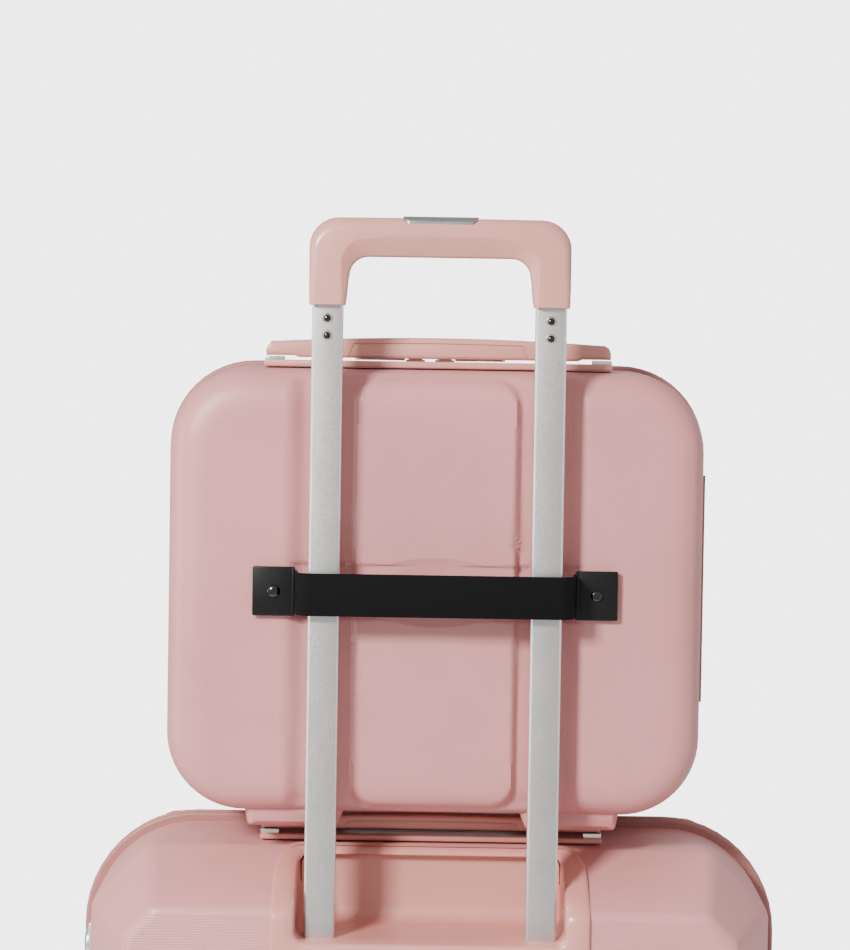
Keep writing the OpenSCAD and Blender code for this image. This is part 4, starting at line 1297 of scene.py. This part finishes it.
def caster_frame_form(x, y, y_wheel, node):
    """Swivel plate, web and the hoods over the two wheels."""
    plate = turned([(0, PLATE_Z - 5 * MM), (11 * MM, PLATE_Z - 5 * MM), (15.6 * MM, PLATE_Z - 1.5 * MM),
                    (17 * MM, PLATE_Z + 0.6 * MM), (17 * MM, PLATE_TOP - 0.5 * MM), (16.4 * MM, PLATE_TOP),
                    (5 * MM, PLATE_TOP), (5 * MM, high(node, Z)), (0, high(node, Z))], 56,
                   Matrix.Translation((x, y, 0)))
    web = [(y_wheel - 8 * MM, AXLE_Z - 6 * MM), (y_wheel + 6 * MM, AXLE_Z - 7 * MM),
           (y + 7 * MM, AXLE_Z + 6 * MM), (y + 9 * MM, PLATE_Z), (y - 9 * MM, PLATE_Z),
           (y_wheel - 9 * MM, AXLE_Z + 4 * MM)]
    line = rounded(web, 4 * MM, 4)
    bm = bmesh.new()
    loft(bm, [[Vector((x + a * MM, yy, zz)) for yy, zz in line] for a in (-3.4, 3.4)],
         cap_first=True, cap_last=True)
    hoods = []
    for side in (-1, 1):
        outer = arc(y_wheel, AXLE_Z, 24.6 * MM, 25, 138, 16)
        inner = arc(y_wheel, AXLE_Z, 22.9 * MM, 138, 25, 16)
        x0, x1 = x + side * 3.2 * MM, x + side * 16.6 * MM
        hood = bmesh.new()
        loft(hood, [[Vector((xx, yy, min(zz, PLATE_Z - 0.2 * MM))) for yy, zz in outer + inner]
                    for xx in (x0, x1)], cap_first=True, cap_last=True)
        hoods.append(hood)
    axle = turned(in_mm((0, -17), (4.2, -17), (4.5, -16.6), (4.5, -15.6), (2.4, -15.4), (2.4, 15.4),
                        (4.5, 15.6), (4.5, 16.6), (4.2, 17), (0, 17)), 40,
                  Matrix.Translation((x, y_wheel, AXLE_Z)) @ Matrix.Rotation(math.radians(90), 4, "Y"))
    return merged(node, plate, bm, *hoods, axle)


def wheel_forms(x, y_wheel):
    """The hubs and tyres of one caster's two wheels."""
    dish = in_mm((2.6, -5.4), (2.6, 5.4), (5.6, 5.4), (6.2, 4.9), (6.6, 3.4), (10.6, 3.4), (11.2, 4.9),
                 (11.9, 5.4), (13.4, 5.4), (13.4, -5.4), (2.6, -5.4))
    tread = in_mm((13.5, -5.1), (19.2, -5.1), (20.6, -4.7), (21.5, -3.7), (21.9, -2.2), (22, -0.9),
                  (21.6, -0.6), (21.6, 0.6), (22, 0.9), (21.9, 2.2), (21.5, 3.7), (20.6, 4.7), (19.2, 5.1),
                  (13.5, 5.1), (13.5, -5.1))
    hubs, tyres = [], []
    for side in (-1, 1):
        facing = (Matrix.Translation((x + side * WHEEL_OFF, y_wheel, AXLE_Z))
                  @ Matrix.Rotation(math.radians(90 * side), 4, "Y"))
        hubs.append(turned(dish, 48, facing))
        for k in range(5):
            spoke = box_bm((5.8 * MM, -1.2 * MM, 3 * MM), (11.5 * MM, 1.2 * MM, 4.9 * MM), 0.5 * MM)
            bmesh.ops.transform(spoke, verts=spoke.verts,
                                matrix=facing @ Matrix.Rotation(math.tau * k / 5, 4, "Z"))
            hubs.append(spoke)
        tyres.append(turned(tread, 72, facing))
    return hubs, tyres


def casters():
    """Four swivel casters with two wheels each, under their cups."""
    for end, sign, half in (("rear", -1, "rear_half"), ("front", 1, "front_half")):
        caster_housing(end, half, f"{end}_caster_housings")
        for side_name in ("left", "right"):
            key = f"{end}_{side_name}"
            x, y_wheel = middle(f"caster_fork_{key}", X), middle(f"caster_hubs_{key}", Y)
            y = sign * abs(middle(f"{end}_caster_housings", Y))
            piece(f"caster_frame_{key}", caster_frame_form(x, y, y_wheel, f"caster_fork_{key}"),
                  f"caster_{key}", SOFT_BLACK, [f"caster_fork_{key}"], smooth=35)
            hubs, tyres = wheel_forms(x, y_wheel)
            piece(f"wheel_hubs_{key}", merged("hubs", *hubs), f"wheels_{key}", HUB_GREY,
                  [f"caster_hubs_{key}"], smooth=35)
            piece(f"wheel_tyres_{key}", merged("tyres", *tyres), f"wheels_{key}", RUBBER,
                  [f"caster_tyres_{key}"], smooth=40)


casters()


def side_feet():
    """Two rounded blocks with grooved faces, that the suitcase stands on when it lies on its side."""
    forms = []
    reach, half_h = high("side_feet", X), 22 * MM
    y0, y1 = low("side_feet", Y), high("side_feet", Y)
    for z in (low("side_feet", Z) + half_h, high("side_feet", Z) - half_h):
        forms.append(box_bm((RIM_HALF - 13 * MM, y0, z - half_h),
                            (reach - 0.7 * MM, y1, z + half_h), 3 * MM, 4))
        for k in range(5):
            mid = z + (k - 2) * 7 * MM
            forms.append(box_bm((reach - 3 * MM, y0 + 4 * MM, mid - 1.6 * MM),
                                (reach, y1 - 4 * MM, mid + 1.6 * MM), 0.6 * MM))
    piece("side_foot_pads", merged("pads", *forms), "rear_half", SOFT_BLACK, ["side_feet"],
          smooth=35)


side_feet()


# ---- parts shown as the frame gives them ----

def dress(looks):
    """Gives the frame's own nodes their looks."""
    for look, names in looks.items():
        for name in names:
            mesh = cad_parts[name].data
            mesh.materials.clear()
            mesh.materials.append(look)


dress({LINING: ["rear_lining", "front_lining", "case_rear_lining"],
       TAPE_PINK: ["hinge_band", "case_hinge_band"],
       TUBE_METAL: ["outer_tubes"],
       GLOSS_BLACK: ["tube_foot_bracket"],
       NICKEL: ["release_rods", "lock_pins"]})


# ---- floor, light and camera ----

def camera():
    """The camera behind the object, a little rolled and tipped."""
    data = bpy.data.cameras.new("camera")
    data.sensor_width = 36
    data.lens = 104
    eye = bpy.data.objects.new("camera", data)
    bpy.context.collection.objects.link(eye)
    roll, pitch = math.radians(0.9), math.radians(-2.2)
    eye.matrix_world = (Matrix.Translation((-7 * MM, TUBE_Y - 1.6, 0.914))
                        @ Matrix.Rotation(math.radians(90) + pitch, 4, "X") @ Matrix.Rotation(roll, 4, "Z"))
    bpy.context.scene.camera = eye


def area_light(name, spot, target, size, power):
    """A white rectangular lamp at a spot, aimed at a target."""
    data = bpy.data.lights.new(name, "AREA")
    data.shape = "RECTANGLE"
    data.size, data.size_y = size
    data.energy = power
    lamp = bpy.data.objects.new(name, data)
    bpy.context.collection.objects.link(lamp)
    aim = (Vector(target) - Vector(spot)).to_track_quat("-Z", "Y")
    lamp.matrix_world = Matrix.Translation(spot) @ aim.to_matrix().to_4x4()


def stage_piece(name, bm, glow, matrix):
    """A plain grey sheet that isn't part of the object."""
    mesh = bpy.data.meshes.new(name)
    bmesh.ops.transform(bm, verts=bm.verts, matrix=matrix)
    bm.to_mesh(mesh)
    bm.free()
    pale, shader = tree(name)
    shader.inputs["Base Color"].default_value = (0.80, 0.80, 0.80, 1)
    shader.inputs["Roughness"].default_value = 0.9
    shader.inputs["Emission Color"].default_value = (1, 1, 1, 1)
    shader.inputs["Emission Strength"].default_value = glow
    mesh.materials.append(pale)
    obj = bpy.data.objects.new(name, mesh)
    bpy.context.collection.objects.link(obj)
    return obj


def surroundings():
    """A round floor below the view, a bright paper far behind, and an even pale room."""
    disc = bmesh.new()
    bmesh.ops.create_circle(disc, cap_ends=True, segments=96, radius=1.25)
    stage_piece("floor", disc, 0.0, Matrix())
    paper = bmesh.new()
    bmesh.ops.create_grid(paper, x_segments=1, y_segments=1, size=2.6)
    backdrop = stage_piece("backdrop", paper, 3.6, facing_rear(0, 8, 0.9))
    backdrop.visible_glossy = False
    backdrop.visible_diffuse = False
    world = bpy.data.worlds.new("soft_world")
    world.use_nodes = True
    back = world.node_tree.nodes["Background"]
    back.inputs["Color"].default_value = (1.0, 1.0, 1.0, 1)
    back.inputs["Strength"].default_value = 0.76
    bpy.context.scene.world = world
    area_light("key", (-1.15, -1.85, 1.75), (0, -0.1, 0.72), (0.42, 0.42), 100)
    area_light("left_strip", (-1.9, -0.35, 0.8), (0, -0.1, 0.8), (0.35, 1.1), 12)
    area_light("right_strip", (1.9, -0.35, 0.8), (0, -0.1, 0.8), (0.25, 1.1), 4)


camera()
surroundings()
